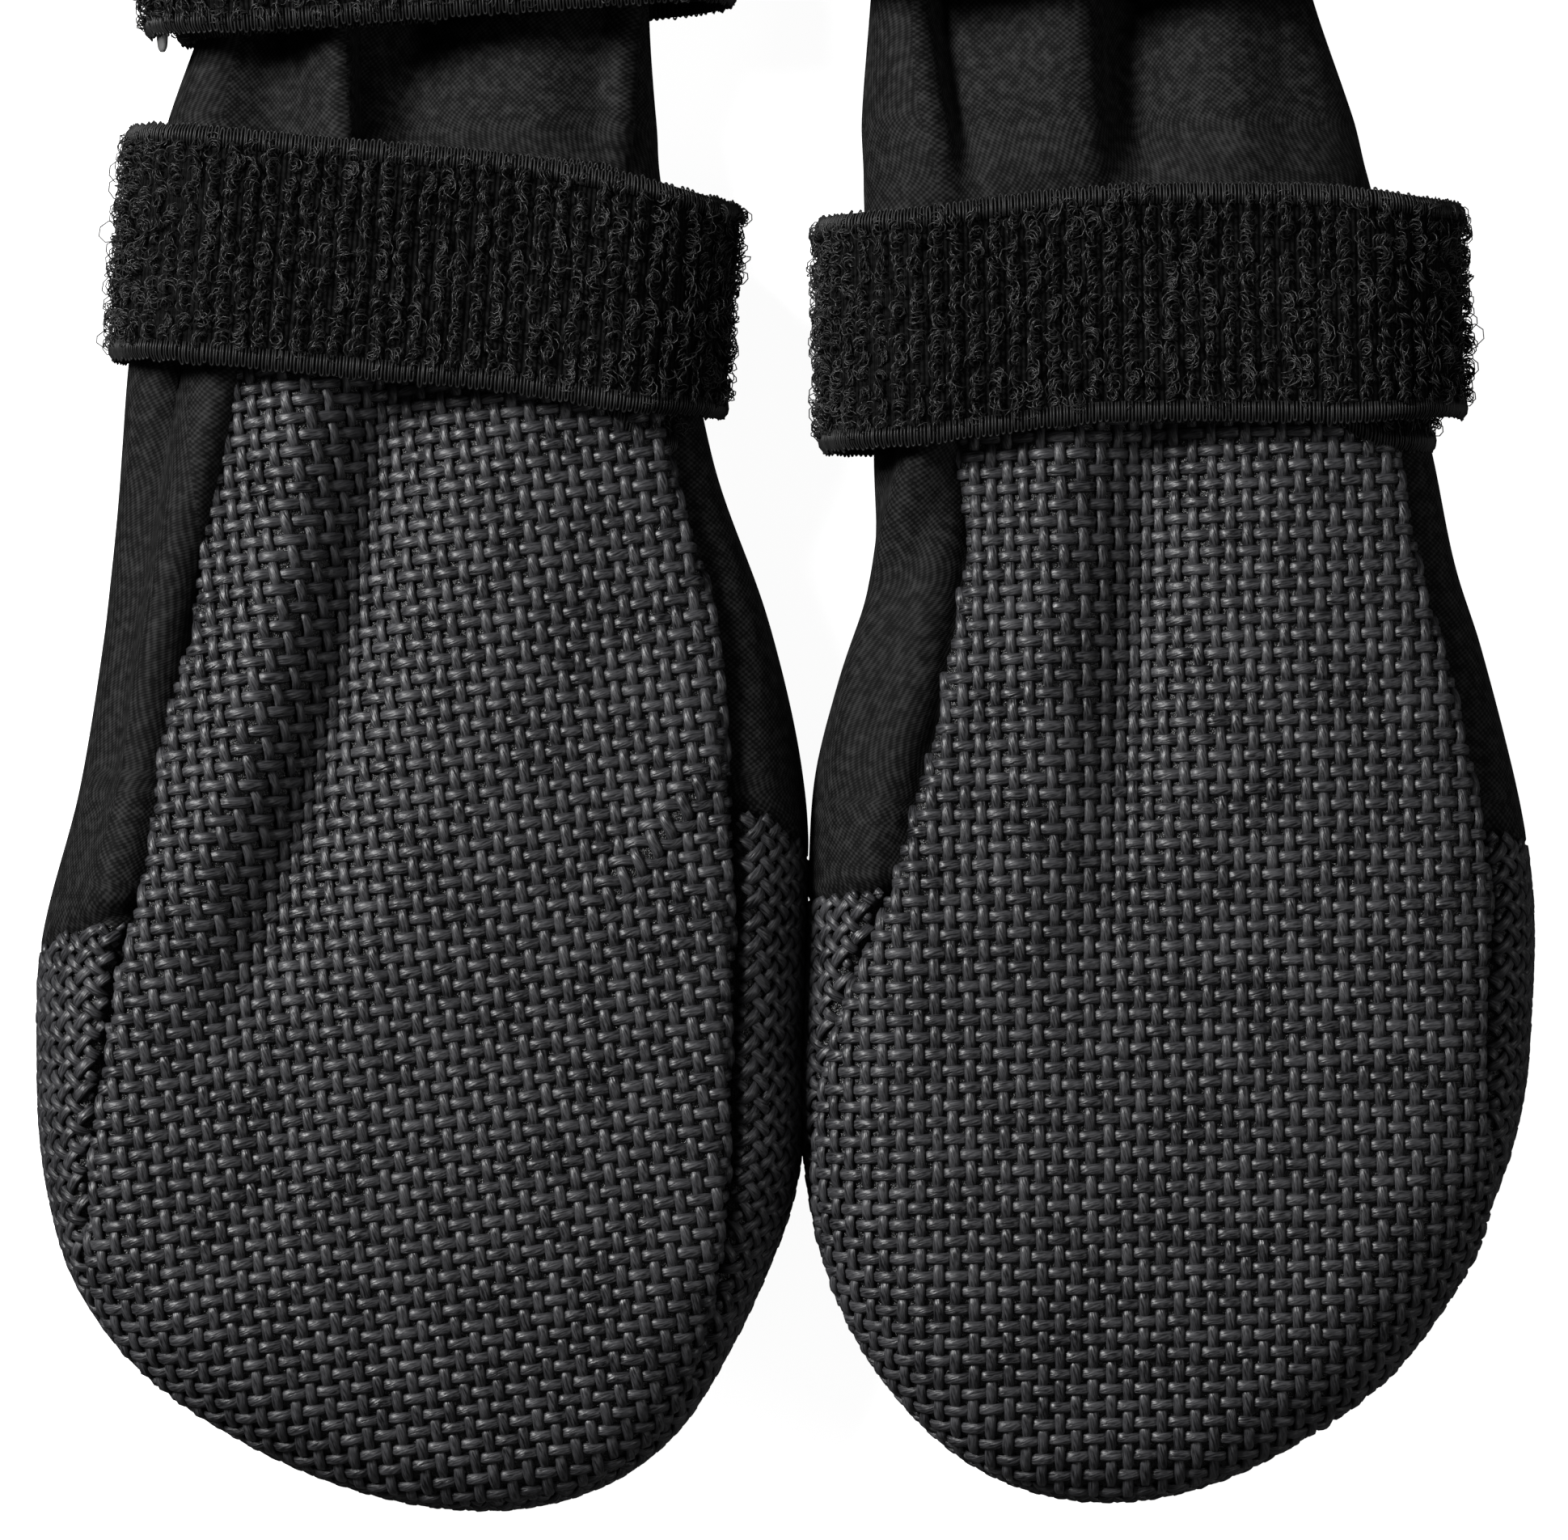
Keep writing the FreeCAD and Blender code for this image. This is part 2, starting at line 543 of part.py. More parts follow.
def boot_pieces(side):
    """All the sub-parts of one boot."""
    pieces = foot_pieces(side) + leg_pieces(side)
    pieces += strap_pieces(side, "ankle", "Sizes.ankle_height", f"Sizes.{side}_ankle_ring_width", 0)
    pieces += strap_pieces(side, "cuff", "Sizes.leg_height", f"Sizes.{side}_cuff_ring_width", 180)
    return pieces


def check_and_write(pieces):
    """Stop on any failed object, then write each sub-part to its own STEP file."""
    for thing in document.Objects:
        if "Invalid" in thing.State or "Error" in thing.State:
            raise RuntimeError(f"{thing.Name} failed: {thing.State}")
    os.makedirs("parts", exist_ok=True)
    for piece in pieces:
        shape = piece.Shape
        if shape.isNull() or not shape.isValid():
            raise RuntimeError(f"{piece.Label} has no valid shape")
        shape.exportStep(os.path.join("parts", f"{piece.Label}.step"))


fill_sheet()
all_pieces = boot_pieces("left") + boot_pieces("right")
document.recompute()
check_and_write(all_pieces)
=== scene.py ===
"""A pair of fabric paw boots, lying side by side with their soles up.

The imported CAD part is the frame. Every cloth, tape and moulded piece of it is replaced here by a
detailed one: coarse coated cloth made of real yarns, softshell with its folds, and hook-and-loop
straps with their pile. Lengths are in millimetres until they become vertices, which are in metres.
"""

import math

import bmesh
import bpy
import numpy as np
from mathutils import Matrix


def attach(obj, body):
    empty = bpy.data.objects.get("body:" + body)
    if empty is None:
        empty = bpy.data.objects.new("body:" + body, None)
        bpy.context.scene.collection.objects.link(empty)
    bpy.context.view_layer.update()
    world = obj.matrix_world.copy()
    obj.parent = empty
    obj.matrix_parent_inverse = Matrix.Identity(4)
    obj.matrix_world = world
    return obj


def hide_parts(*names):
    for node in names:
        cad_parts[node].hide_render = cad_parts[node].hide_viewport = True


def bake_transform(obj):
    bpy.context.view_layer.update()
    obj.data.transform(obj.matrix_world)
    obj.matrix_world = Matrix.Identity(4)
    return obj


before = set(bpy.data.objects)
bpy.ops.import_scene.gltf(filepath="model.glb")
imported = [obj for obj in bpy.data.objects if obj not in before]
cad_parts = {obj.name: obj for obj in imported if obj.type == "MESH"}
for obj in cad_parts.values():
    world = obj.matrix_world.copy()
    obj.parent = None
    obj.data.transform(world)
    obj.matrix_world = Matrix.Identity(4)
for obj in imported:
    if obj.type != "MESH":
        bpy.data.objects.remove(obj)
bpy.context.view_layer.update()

MM = 0.001
SIDES = ("left", "right")
random = np.random.default_rng(11)


# ---------------------------------------------------------------- camera, floor and light

VIEW_WIDTH = 170.1          # what the picture spans at the soles' height
VIEW_MIDDLE_Y = -19.3
SOLE_HEIGHT = 20.0
LENS, SENSOR = 180.0, 36.0


def add_camera():
    """Straight above the soles, a little way off the pair's middle."""
    data = bpy.data.cameras.new("camera")
    data.lens = LENS
    data.sensor_width = SENSOR
    camera = bpy.data.objects.new("camera", data)
    distance = VIEW_WIDTH * LENS / SENSOR
    camera.location = (0, VIEW_MIDDLE_Y * MM, (SOLE_HEIGHT + distance) * MM)
    bpy.context.scene.collection.objects.link(camera)
    bpy.context.scene.camera = camera


def add_area_light(name, place, size, power):
    """A square softbox that looks at the pair's middle."""
    data = bpy.data.lights.new(name, "AREA")
    data.size = size
    data.energy = power
    light = bpy.data.objects.new(name, data)
    light.location = place
    aim = -light.location
    light.rotation_euler = aim.to_track_quat("-Z", "Y").to_euler()
    bpy.context.scene.collection.objects.link(light)


def add_floor():
    """A white table top, bright as a lit sweep, whose glow isn't cast back on the boots."""
    data = bpy.data.meshes.new("floor")
    reach = 3.0
    data.from_pydata([(-reach, -reach, 0), (reach, -reach, 0), (reach, reach, 0), (-reach, reach, 0)],
                     [], [(0, 1, 2, 3)])
    floor = bpy.data.objects.new("floor", data)
    bpy.context.scene.collection.objects.link(floor)
    paint = Paint("white_sweep", (0.93, 0.93, 0.93), 0.7)
    paint.set("Emission Color", (1, 1, 1, 1))
    paint.set("Emission Strength", 0.95)
    data.materials.append(paint.material)
    floor.visible_diffuse = False
    floor.visible_glossy = False


def add_light():
    """A pale room, a large softbox above the left shoulder, and a weaker one opposite."""
    world = bpy.data.worlds.new("room")
    world.use_nodes = True
    world.node_tree.nodes["Background"].inputs["Color"].default_value = (1, 1, 1, 1)
    world.node_tree.nodes["Background"].inputs["Strength"].default_value = 0.05
    bpy.context.scene.world = world
    add_area_light("key", (-0.78, 0.48, 0.74), 0.42, 16.0)
    add_area_light("fill", (0.95, -0.10, 0.70), 0.6, 1.3)
    bpy.context.scene.view_settings.view_transform = "Standard"


# ---------------------------------------------------------------- materials

class Paint:
    """A material with one principled shader, and short ways to add nodes to it."""

    def __init__(self, name, colour, roughness):
        self.material = bpy.data.materials.new(name)
        self.material.use_nodes = True
        self.tree = self.material.node_tree
        self.shader = self.tree.nodes["Principled BSDF"]
        self.set("Base Color", (*colour, 1))
        self.set("Roughness", roughness)

    def set(self, socket, value):
        """Give one of the shader's sockets a plain value."""
        self.shader.inputs[socket].default_value = value

    def wire(self, output, socket):
        """Drive one of the shader's sockets from a node."""
        self.tree.links.new(output, self.shader.inputs[socket])

    def math(self, operation, *values):
        """One Math node; each value is a number or a socket."""
        node = self.tree.nodes.new("ShaderNodeMath")
        node.operation = operation
        for socket, value in zip(node.inputs, values):
            if isinstance(value, (int, float)):
                socket.default_value = value
            else:
                self.tree.links.new(value, socket)
        return node.outputs[0]

    def cloth_coordinates(self):
        """The cloth's own u and v, in millimetres."""
        uv = self.tree.nodes.new("ShaderNodeUVMap")
        uv.uv_map = "cloth"
        split = self.tree.nodes.new("ShaderNodeSeparateXYZ")
        self.tree.links.new(uv.outputs[0], split.inputs[0])
        return split.outputs[0], split.outputs[1]

    def noise(self, vector, scale, detail):
        """Noise over the given coordinates."""
        noise = self.tree.nodes.new("ShaderNodeTexNoise")
        noise.inputs["Scale"].default_value = scale
        noise.inputs["Detail"].default_value = detail
        self.tree.links.new(vector, noise.inputs["Vector"])
        return noise.outputs[0]

    def cloth_noise(self, x, y, detail):
        """Noise over two coordinates that are already scaled to the grain wanted."""
        join = self.tree.nodes.new("ShaderNodeCombineXYZ")
        self.tree.links.new(x, join.inputs[0])
        self.tree.links.new(y, join.inputs[1])
        return self.noise(join.outputs[0], 1.0, detail)

    def place_noise(self, scale, detail):
        """Noise over the object's own space, for slow changes of shade."""
        place = self.tree.nodes.new("ShaderNodeTexCoord")
        return self.noise(place.outputs["Object"], scale, detail)

    def shade(self, amount, dark, light, low=0.3, high=0.7):
        """Base colour from dark to light as amount goes from low to high."""
        ramp = self.tree.nodes.new("ShaderNodeValToRGB")
        for element, place, colour in zip(ramp.color_ramp.elements, (low, high), (dark, light)):
            element.position = place
            element.color = (*colour, 1)
        self.tree.links.new(amount, ramp.inputs[0])
        self.wire(ramp.outputs[0], "Base Color")

    def bump(self, height, depth):
        """Relief of the given depth, in millimetres."""
        bump = self.tree.nodes.new("ShaderNodeBump")
        bump.inputs["Strength"].default_value = 1.0
        bump.inputs["Distance"].default_value = depth * MM
        self.tree.links.new(height, bump.inputs["Height"])
        self.wire(bump.outputs[0], "Normal")


def yarn_material():
    """Twisted, coated yarn: fine fibres that run along it at a slant, with a satin gloss. The fibres'
    relief is also painted into the colour: painted shade in the grooves between fibres and painted light
    on the fibre tops; the slow patches are random tone.
    """
    paint = Paint("coated_yarn", (0.03, 0.03, 0.032), 0.42)
    along, around = paint.cloth_coordinates()
    slanted = paint.math("MULTIPLY_ADD", along, 0.16, around)
    fibre_x = paint.math("MULTIPLY", along, 0.9)
    fibre_y = paint.math("MULTIPLY", slanted, 7.5)
    fibres = paint.cloth_noise(fibre_x, fibre_y, 2.0)
    patches = paint.place_noise(220.0, 3.0)
    # painted shade and light: the fibre relief, also used as the bump, darkens the grooves between fibres
    # and lightens the fibre tops
    painted_fibre_shade = paint.math("MULTIPLY", fibres, 0.75)
    tone_and_fibre_shade = paint.math("MULTIPLY_ADD", patches, 0.30, painted_fibre_shade)
    paint.shade(tone_and_fibre_shade, (0.002, 0.002, 0.003), (0.100, 0.100, 0.107), 0.40, 0.68)
    paint.wire(paint.math("MULTIPLY_ADD", patches, 0.35, 0.22), "Roughness")
    paint.set("Specular IOR Level", 0.6)
    paint.set("Coat Weight", 0.12)
    paint.set("Coat Roughness", 0.22)
    paint.bump(fibres, 0.13)
    return paint.material


def coating_material():
    """The black coating between the yarns: crinkled, and glossy enough to sparkle; the crinkles' raised
    tops are also painted lighter, as painted glints.
    """
    paint = Paint("coating", (0.006, 0.006, 0.007), 0.2)
    crinkles_and_painted_glints = paint.place_noise(5200.0, 2.0)
    # painted glints: the crinkle noise, also used as the bump, lightens the base colour on the raised
    # tops
    paint.shade(crinkles_and_painted_glints, (0.004, 0.004, 0.004), (0.060, 0.060, 0.063), 0.50, 0.74)
    paint.set("Specular IOR Level", 0.8)
    paint.bump(crinkles_and_painted_glints, 0.22)
    return paint.material


def waves(paint, distance, spacing):
    """A sine wave along one cloth coordinate, with its zeros half the spacing apart."""
    return paint.math("SINE", paint.math("MULTIPLY", distance, 2 * math.pi / spacing))


def softshell_material():
    """Fine plain weave with a matt black face, 0.30 mm from one thread to the next. The weave's relief is
    also painted into the colour: painted shade between the threads and lighter thread crossings; the
    grain is random tone.
    """
    thread = 0.30
    paint = Paint("softshell", (0.02, 0.02, 0.02), 0.75)
    across, along = paint.cloth_coordinates()
    crossings = paint.math("MULTIPLY", waves(paint, across, 2 * thread), waves(paint, along, 2 * thread))
    grain = paint.place_noise(900.0, 2.0)
    weave_relief_and_painted_shade = paint.math("MULTIPLY_ADD", crossings, 0.28, grain)
    # painted shade: the same relief as the bump darkens the colour between threads and lightens the
    # crossings
    paint.shade(weave_relief_and_painted_shade, (0.0008, 0.0008, 0.0008), (0.040, 0.040, 0.040), 0.36, 0.95)
    paint.set("Specular IOR Level", 0.18)
    paint.set("Sheen Weight", 0.02)
    paint.bump(weave_relief_and_painted_shade, 0.06)
    return paint.material


def filament_material(name, light, roughness):
    """Nylon filament: black, with the small bright glints of a smooth round thread."""
    paint = Paint(name, (0.015, 0.015, 0.015), roughness)
    dark = tuple(0.35 * value for value in light)
    paint.shade(paint.place_noise(700.0, 2.0), dark, light)
    paint.set("Specular IOR Level", 0.5)
    return paint.material


def tape_material():
    """The tape's own weave: ribs across it, 0.55 mm apart, and steps 0.8 mm long. The ribs' relief is
    also painted into the colour, as painted shade in the hollows between them.
    """
    paint = Paint("tape_weave", (0.008, 0.008, 0.008), 0.7)
    along, across = paint.cloth_coordinates()
    relief = paint.math("MULTIPLY_ADD", waves(paint, across, 0.8), 0.4, waves(paint, along, 0.55))
    # painted shade: the relief that drives the bump also darkens the colour in the rib hollows
    paint.shade(relief, (0.0008, 0.0008, 0.0008), (0.004, 0.004, 0.004), 0.0, 1.0)
    paint.set("Specular IOR Level", 0.1)
    paint.bump(relief, 0.04)
    return paint.material


def hook_material():
    """Moulded nylon, grey and a little see-through."""
    paint = Paint("moulded_hook", (0.12, 0.12, 0.12), 0.3)
    paint.shade(paint.place_noise(500.0, 2.0), (0.10, 0.10, 0.10), (0.30, 0.30, 0.30))
    paint.set("Transmission Weight", 0.35)
    return paint.material


# ---------------------------------------------------------------- meshes

def unit(vectors):
    """The vectors with length one."""
    length = np.linalg.norm(vectors, axis=-1, keepdims=True)
    return vectors / np.maximum(length, 1e-9)


class MeshMaker:
    """Gathers points and faces, with the cloth coordinates of each face's corners."""

    def __init__(self):
        self.points, self.faces, self.cloth = [], [], []
        self.count = 0

    def add(self, points, faces, cloth):
        """points (n, 3), faces (m, k) into points, cloth (m, k, 2)."""
        used, faces = np.unique(faces, return_inverse=True)
        faces = faces.reshape(cloth.shape[:2])
        self.points.append(points[used])
        self.faces.append(faces + self.count)
        self.cloth.append(cloth)
        self.count += len(used)

    def build(self, name, material):
        """The finished object, smooth shaded, in the scene."""
        points = np.concatenate(self.points) * MM
        sizes = np.concatenate([np.full(len(f), f.shape[1]) for f in self.faces])
        corners = np.concatenate([f.ravel() for f in self.faces])
        starts = np.concatenate([[0], np.cumsum(sizes)[:-1]])
        data = bpy.data.meshes.new(name)
        data.vertices.add(len(points))
        data.vertices.foreach_set("co", points.astype(np.float32).ravel())
        data.loops.add(len(corners))
        data.loops.foreach_set("vertex_index", corners.astype(np.int32))
        data.polygons.add(len(sizes))
        data.polygons.foreach_set("loop_start", starts.astype(np.int32))
        layer = data.uv_layers.new(name="cloth")
        cloth = np.concatenate([c.reshape(-1, 2) for c in self.cloth])
        layer.data.foreach_set("uv", cloth.astype(np.float32).ravel())
        data.update(calc_edges=True)
        data.validate()
        data.polygons.foreach_set("use_smooth", np.ones(len(data.polygons), bool))
        data.materials.append(material)
        made = bpy.data.objects.new(name, data)
        bpy.context.scene.collection.objects.link(made)
        return made


def circle(sides):
    """A round section, as offsets to the side and up."""
    turn = 2 * math.pi * np.arange(sides) / sides
    return np.stack([np.cos(turn), np.sin(turn)], axis=1)


def add_tubes(maker, centres, normals, wide, high, keep, section, step, offset):
    """Sweep a section along many lines at once, wherever keep is true.

    centres and normals are (lines, samples, 3), wide and high (lines, samples), step is the
    distance between samples, and offset (lines,) sets each line's own start in the cloth's grain.
    """
    tangent = unit(np.gradient(centres, axis=1))
    side = unit(np.cross(normals, tangent))
    up = np.cross(tangent, side)
    across = section[:, 0] * wide[..., None]
    above = section[:, 1] * high[..., None]
    rings = centres[:, :, None] + side[:, :, None] * across[..., None] + up[:, :, None] * above[..., None]
    lines, samples, sides = across.shape
    index = np.arange(lines * samples * sides).reshape(lines, samples, sides)
    run = keep[:, :-1] & keep[:, 1:]
    first, second = index[:, :-1][run], index[:, 1:][run]
    quads = np.stack([first, np.roll(first, -1, 1), np.roll(second, -1, 1), second], axis=-1)
    if not len(quads):
        return
    line, sample = np.nonzero(run)
    girth = math.pi * (wide.mean() + high.mean())
    u = (sample * step + offset[line])[:, None] + np.zeros(sides)
    v = np.zeros((len(line), 1)) + np.arange(sides) * girth / sides
    next_v = v + girth / sides
    cloth = np.stack([
        np.stack([u, v], -1),
        np.stack([u, next_v], -1),
        np.stack([u + step, next_v], -1),
        np.stack([u + step, v], -1),
    ], axis=2)
    padded = np.pad(run, ((0, 0), (1, 1)))
    starts = index[(padded[:, 1:] & ~padded[:, :-1])][:, ::-1]
    ends = index[(padded[:, :-1] & ~padded[:, 1:])]
    caps = np.concatenate([starts, ends])
    points = rings.reshape(-1, 3)
    used, packed = np.unique(np.concatenate([quads.ravel(), caps.ravel()]), return_inverse=True)
    cut = quads.size
    quads, caps = packed[:cut].reshape(-1, 4), packed[cut:].reshape(caps.shape)
    maker.points.append(points[used])
    maker.faces += [quads + maker.count, caps + maker.count]
    maker.cloth += [cloth.reshape(-1, 4, 2), np.zeros((*caps.shape, 2))]
    maker.count += len(used)


def add_grid(maker, points, cloth, around=False):
    """A sheet through a (rows, columns) grid of points; around joins the last column to the first."""
    rows, columns = points.shape[:2]
    index = np.arange(rows * columns).reshape(rows, columns)
    if around:
        index = np.concatenate([index, index[:, :1]], axis=1)
        step = cloth[:, -1:] - cloth[:, -2:-1]
        cloth = np.concatenate([cloth, cloth[:, -1:] + step], axis=1)
    corners = [(0, 0), (0, 1), (1, 1), (1, 0)]
    high, wide = index.shape

    def corner(grid, row, column):
        return grid[row:high - 1 + row, column:wide - 1 + column]

    faces = np.stack([corner(index, *c).ravel() for c in corners], axis=1)
    uv = np.stack([corner(cloth, *c).reshape(-1, 2) for c in corners], axis=1)
    maker.add(points.reshape(-1, 3), faces, uv)


def add_bar(maker, rings, flat):
    """A solid bar through closed rings of points, with flat ends."""
    add_grid(maker, rings, flat, around=True)
    corners = np.arange(rings.shape[1])[None]
    maker.add(rings[0], corners, flat[0][None])
    maker.add(rings[-1], corners[:, ::-1], flat[-1][None])


def merge_close_points(made):
    """Join the points that fall together, such as those along a fan's spine."""
    mesh = bmesh.new()
    mesh.from_mesh(made.data)
    bmesh.ops.remove_doubles(mesh, verts=mesh.verts, dist=0.02 * MM)
    mesh.to_mesh(made.data)
    mesh.free()
    made.data.polygons.foreach_set("use_smooth", np.ones(len(made.data.polygons), bool))


# ---------------------------------------------------------------- curves

def running_length(points):
    """Distance along a line of points, from its first point to each of them."""
    gaps = np.linalg.norm(np.diff(points, axis=0), axis=1)
    return np.concatenate([[0], np.cumsum(gaps)])


def ease(value):
    """0 to 1, slow at both ends."""
    value = np.clip(value, 0, 1)
    return value * value * (3 - 2 * value)


def curve(points, at):
    """A smooth curve through (place, value) points."""
    x, y = np.array(points, float).T
    slope = np.gradient(y, x)
    at = np.clip(at, x[0], x[-1])
    n = np.clip(np.searchsorted(x, at) - 1, 0, len(x) - 2)
    span = x[n + 1] - x[n]
    f = (at - x[n]) / span
    return ((1 + 2 * f) * (1 - f) ** 2 * y[n] + f * (1 - f) ** 2 * span * slope[n]
            + f * f * (3 - 2 * f) * y[n + 1] - f * f * (1 - f) * span * slope[n + 1])


# ---------------------------------------------------------------- the boots' shape

FOOT_END = 139.0            # toe tip to the end of the sole panel's cloth
SKIN_INSET = 0.9            # the cloth's middle lies this far inside its outer face
TOP = [(0, 17.5), (8, 21.0), (19, 24.2), (33, 25.8), (48, 26.0), (64, 25.8), (80, 24.8), (97, 23.0),
       (111, 21.4), (124, 20.4), (146, 19.6), (153, 15.8), (199, 15.8)]
LOW = [(0, 5.5), (8, 2.8), (19, 1.0), (33, 0.3), (64, 0.2), (80, 0.5), (97, 1.4), (111, 2.7), (199, 2.7)]

SHAPES = {
    # toe: (place along Y, length of its round end); half: widths from the ball to the opening;
    # centre: middle line; margin: how far the sole panel's edge lies inside the outline, on the
    # -X side and on the +X side. All are (distance from the toe tip, value) points.
    "left": {
        "toe": (-99.9, 44.5),
        "half": [(0, 41.9), (48, 41.9), (62, 41.8), (80, 39.4), (98, 36.0), (112, 32.8), (124, 31.0),
                 (149, 27.0), (172, 23.0), (198.5, 24.5)],
        "centre": [(0, -33.0), (8, -36.2), (16, -38.9), (23, -39.8), (35, -39.6), (60, -39.5),
                   (78, -37.4), (95, -37.8),
                   (115, -40.2), (150, -40.9), (172, -38.2), (198.5, -38.0)],
        "margin": {
            -1: [(0, 0.8), (22, 1.4), (33, 4.6), (42, 6.4), (56, 8.6), (68, 9.4), (85, 8.2), (102, 10.5),
                 (120, 13.4), (146, 14.0)],
            1: [(0, 1.0), (12, 1.8), (20, 3.4), (33, 6.6), (59, 7.2), (76, 7.6), (85, 6.9), (94, 5.3),
                (103, 4.3), (115, 3.7), (146, 3.7)],
        },
        "cap_seam": {-1: (67.7, 59.8), 1: (79.9, 70.5)},
        "warp": -7.2, "weft": -6.0,
    },
    "right": {
        "toe": (-99.0, 50.0),
        "half": [(0, 39.6), (50, 39.8), (67, 39.6), (78, 38.4), (93, 34.4), (100, 32.2), (114, 30.6),
                 (149, 27.0), (172, 23.0), (198.5, 24.5)],
        "centre": [(0, 35.4), (8, 37.0), (22, 38.8), (45, 41.4), (67, 42.2), (80, 41.6), (100, 41.8),
                   (115, 40.3), (150, 35.6), (172, 33.2), (198.5, 33.0)],
        "margin": {
            -1: [(0, 0.8), (36, 0.9), (54, 3.6), (69, 8.8), (84, 11.0), (100, 9.0), (117, 10.6),
                 (146, 10.6)],
            1: [(0, 0.8), (33, 0.9), (43, 4.2), (70, 4.7), (100, 3.9), (114, 3.6), (146, 3.6)],
        },
        "cap_seam": {-1: (68.0, 65.0), 1: (76.2, 70.8)},
        "warp": -1.0, "weft": -1.5,
    },
}

# Long folds in the sole panel and the softshell: (height, half width, sharpness of the +X flank,
# where along Y it starts, is full and ends, and the (Y, X) points that it passes through)
SOLE_FOLDS = {
    "left": [
        (2.4, 4.8, 1.0, (-58, -18, 44), [(34, -50.5), (3, -53.5), (-15, -57.0), (-32, -61.5),
                                        (-55, -67.0)]),
        (-3.6, 5.4, 1.0, (-64, -24, 44), [(34, -41.5), (3, -45.5), (-15, -49.0), (-32, -54.0),
                                         (-55, -60.0)]),
        (0.9, 8.0, 1.0, (-60, -10, 44), [(34, -27.0), (-30, -30.0)]),
        (-0.7, 4.0, 1.0, (-85, -60, -20), [(-20, -44.0), (-75, -58.0)]),
        (0.7, 2.0, 0.8, (-37, -29, -16), [(-18, -8.5), (-24, -11.5), (-31, -17.5), (-37, -23.0)]),
    ],
    "right": [
        (1.7, 5.0, 1.0, (-56, -6, 40), [(30, 30.5), (5, 30.0), (-40, 26.0)]),
        (-2.5, 4.8, 1.0, (-56, -6, 40), [(30, 40.0), (5, 39.4), (-40, 35.0)]),
        (0.8, 6.0, 1.0, (-56, -6, 40), [(30, 54.0), (-30, 58.0)]),
    ],
}
SOFT_FOLDS = {
    "left": [
        (2.4, 3.0, 0.7, (-56, -30, 40), [(30, -59.0), (5, -65.0), (-20, -69.6), (-50, -74.0)]),
        (-2.4, 2.2, 1.0, (-34, -14, 40), [(30, -64.6), (5, -69.3), (-30, -74.0)]),
        (4.4, 4.2, 0.12, (40, 52, 110), [(46, -47.4), (62, -48.2), (99, -47.0)]),
        (-3.6, 4.4, 1.0, (40, 52, 110), [(46, -40.8), (62, -40.6), (99, -39.0)]),
        (2.0, 6.5, 0.7, (40, 52, 110), [(46, -26.0), (62, -26.6), (99, -26.0)]),
        (1.6, 1.4, 0.25, (40, 52, 110), [(46, -18.0), (62, -17.4), (99, -17.0)]),
        (-1.6, 4.0, 1.0, (40, 52, 110), [(46, -56.0), (62, -56.0), (99, -56.0)]),
    ],
    "right": [
        (3.2, 3.0, 0.6, (-30, -6, 40), [(30, 19.0), (15, 15.6), (1, 11.0), (-22, 6.6)]),
        (-2.2, 2.0, 1.0, (-10, 4, 40), [(30, 14.6), (15, 12.0), (1, 8.6)]),
        (2.4, 4.4, 0.22, (40, 52, 110), [(44, 17.6), (64, 14.6), (99, 13.0)]),
        (-1.8, 1.8, 1.0, (40, 52, 110), [(44, 20.6), (64, 17.4), (99, 15.0)]),
        (3.8, 7.5, 0.30, (40, 52, 110), [(44, 33.0), (64, 32.0), (99, 31.0)]),
        (-3.4, 3.4, 1.0, (40, 52, 110), [(44, 38.6), (64, 38.0), (99, 36.0)]),
        (2.6, 6.0, 0.7, (40, 52, 110), [(44, 50.0), (64, 48.5), (99, 47.0)]),
    ],
}


def fold_height(folds, x, y):
    """Summed height of the folds at each point."""
    total = np.zeros(np.shape(x))
    for height, width, sharpness, (start, full, end), points in folds:
        middle = curve(sorted(points), y)
        off = (x - middle) / width
        off = np.where(off > 0, off / sharpness, off)
        fade = ease((y - start) / (full - start)) * ease((end - y) / 8)
        total += height * fade * np.exp(-off * off)
    return total


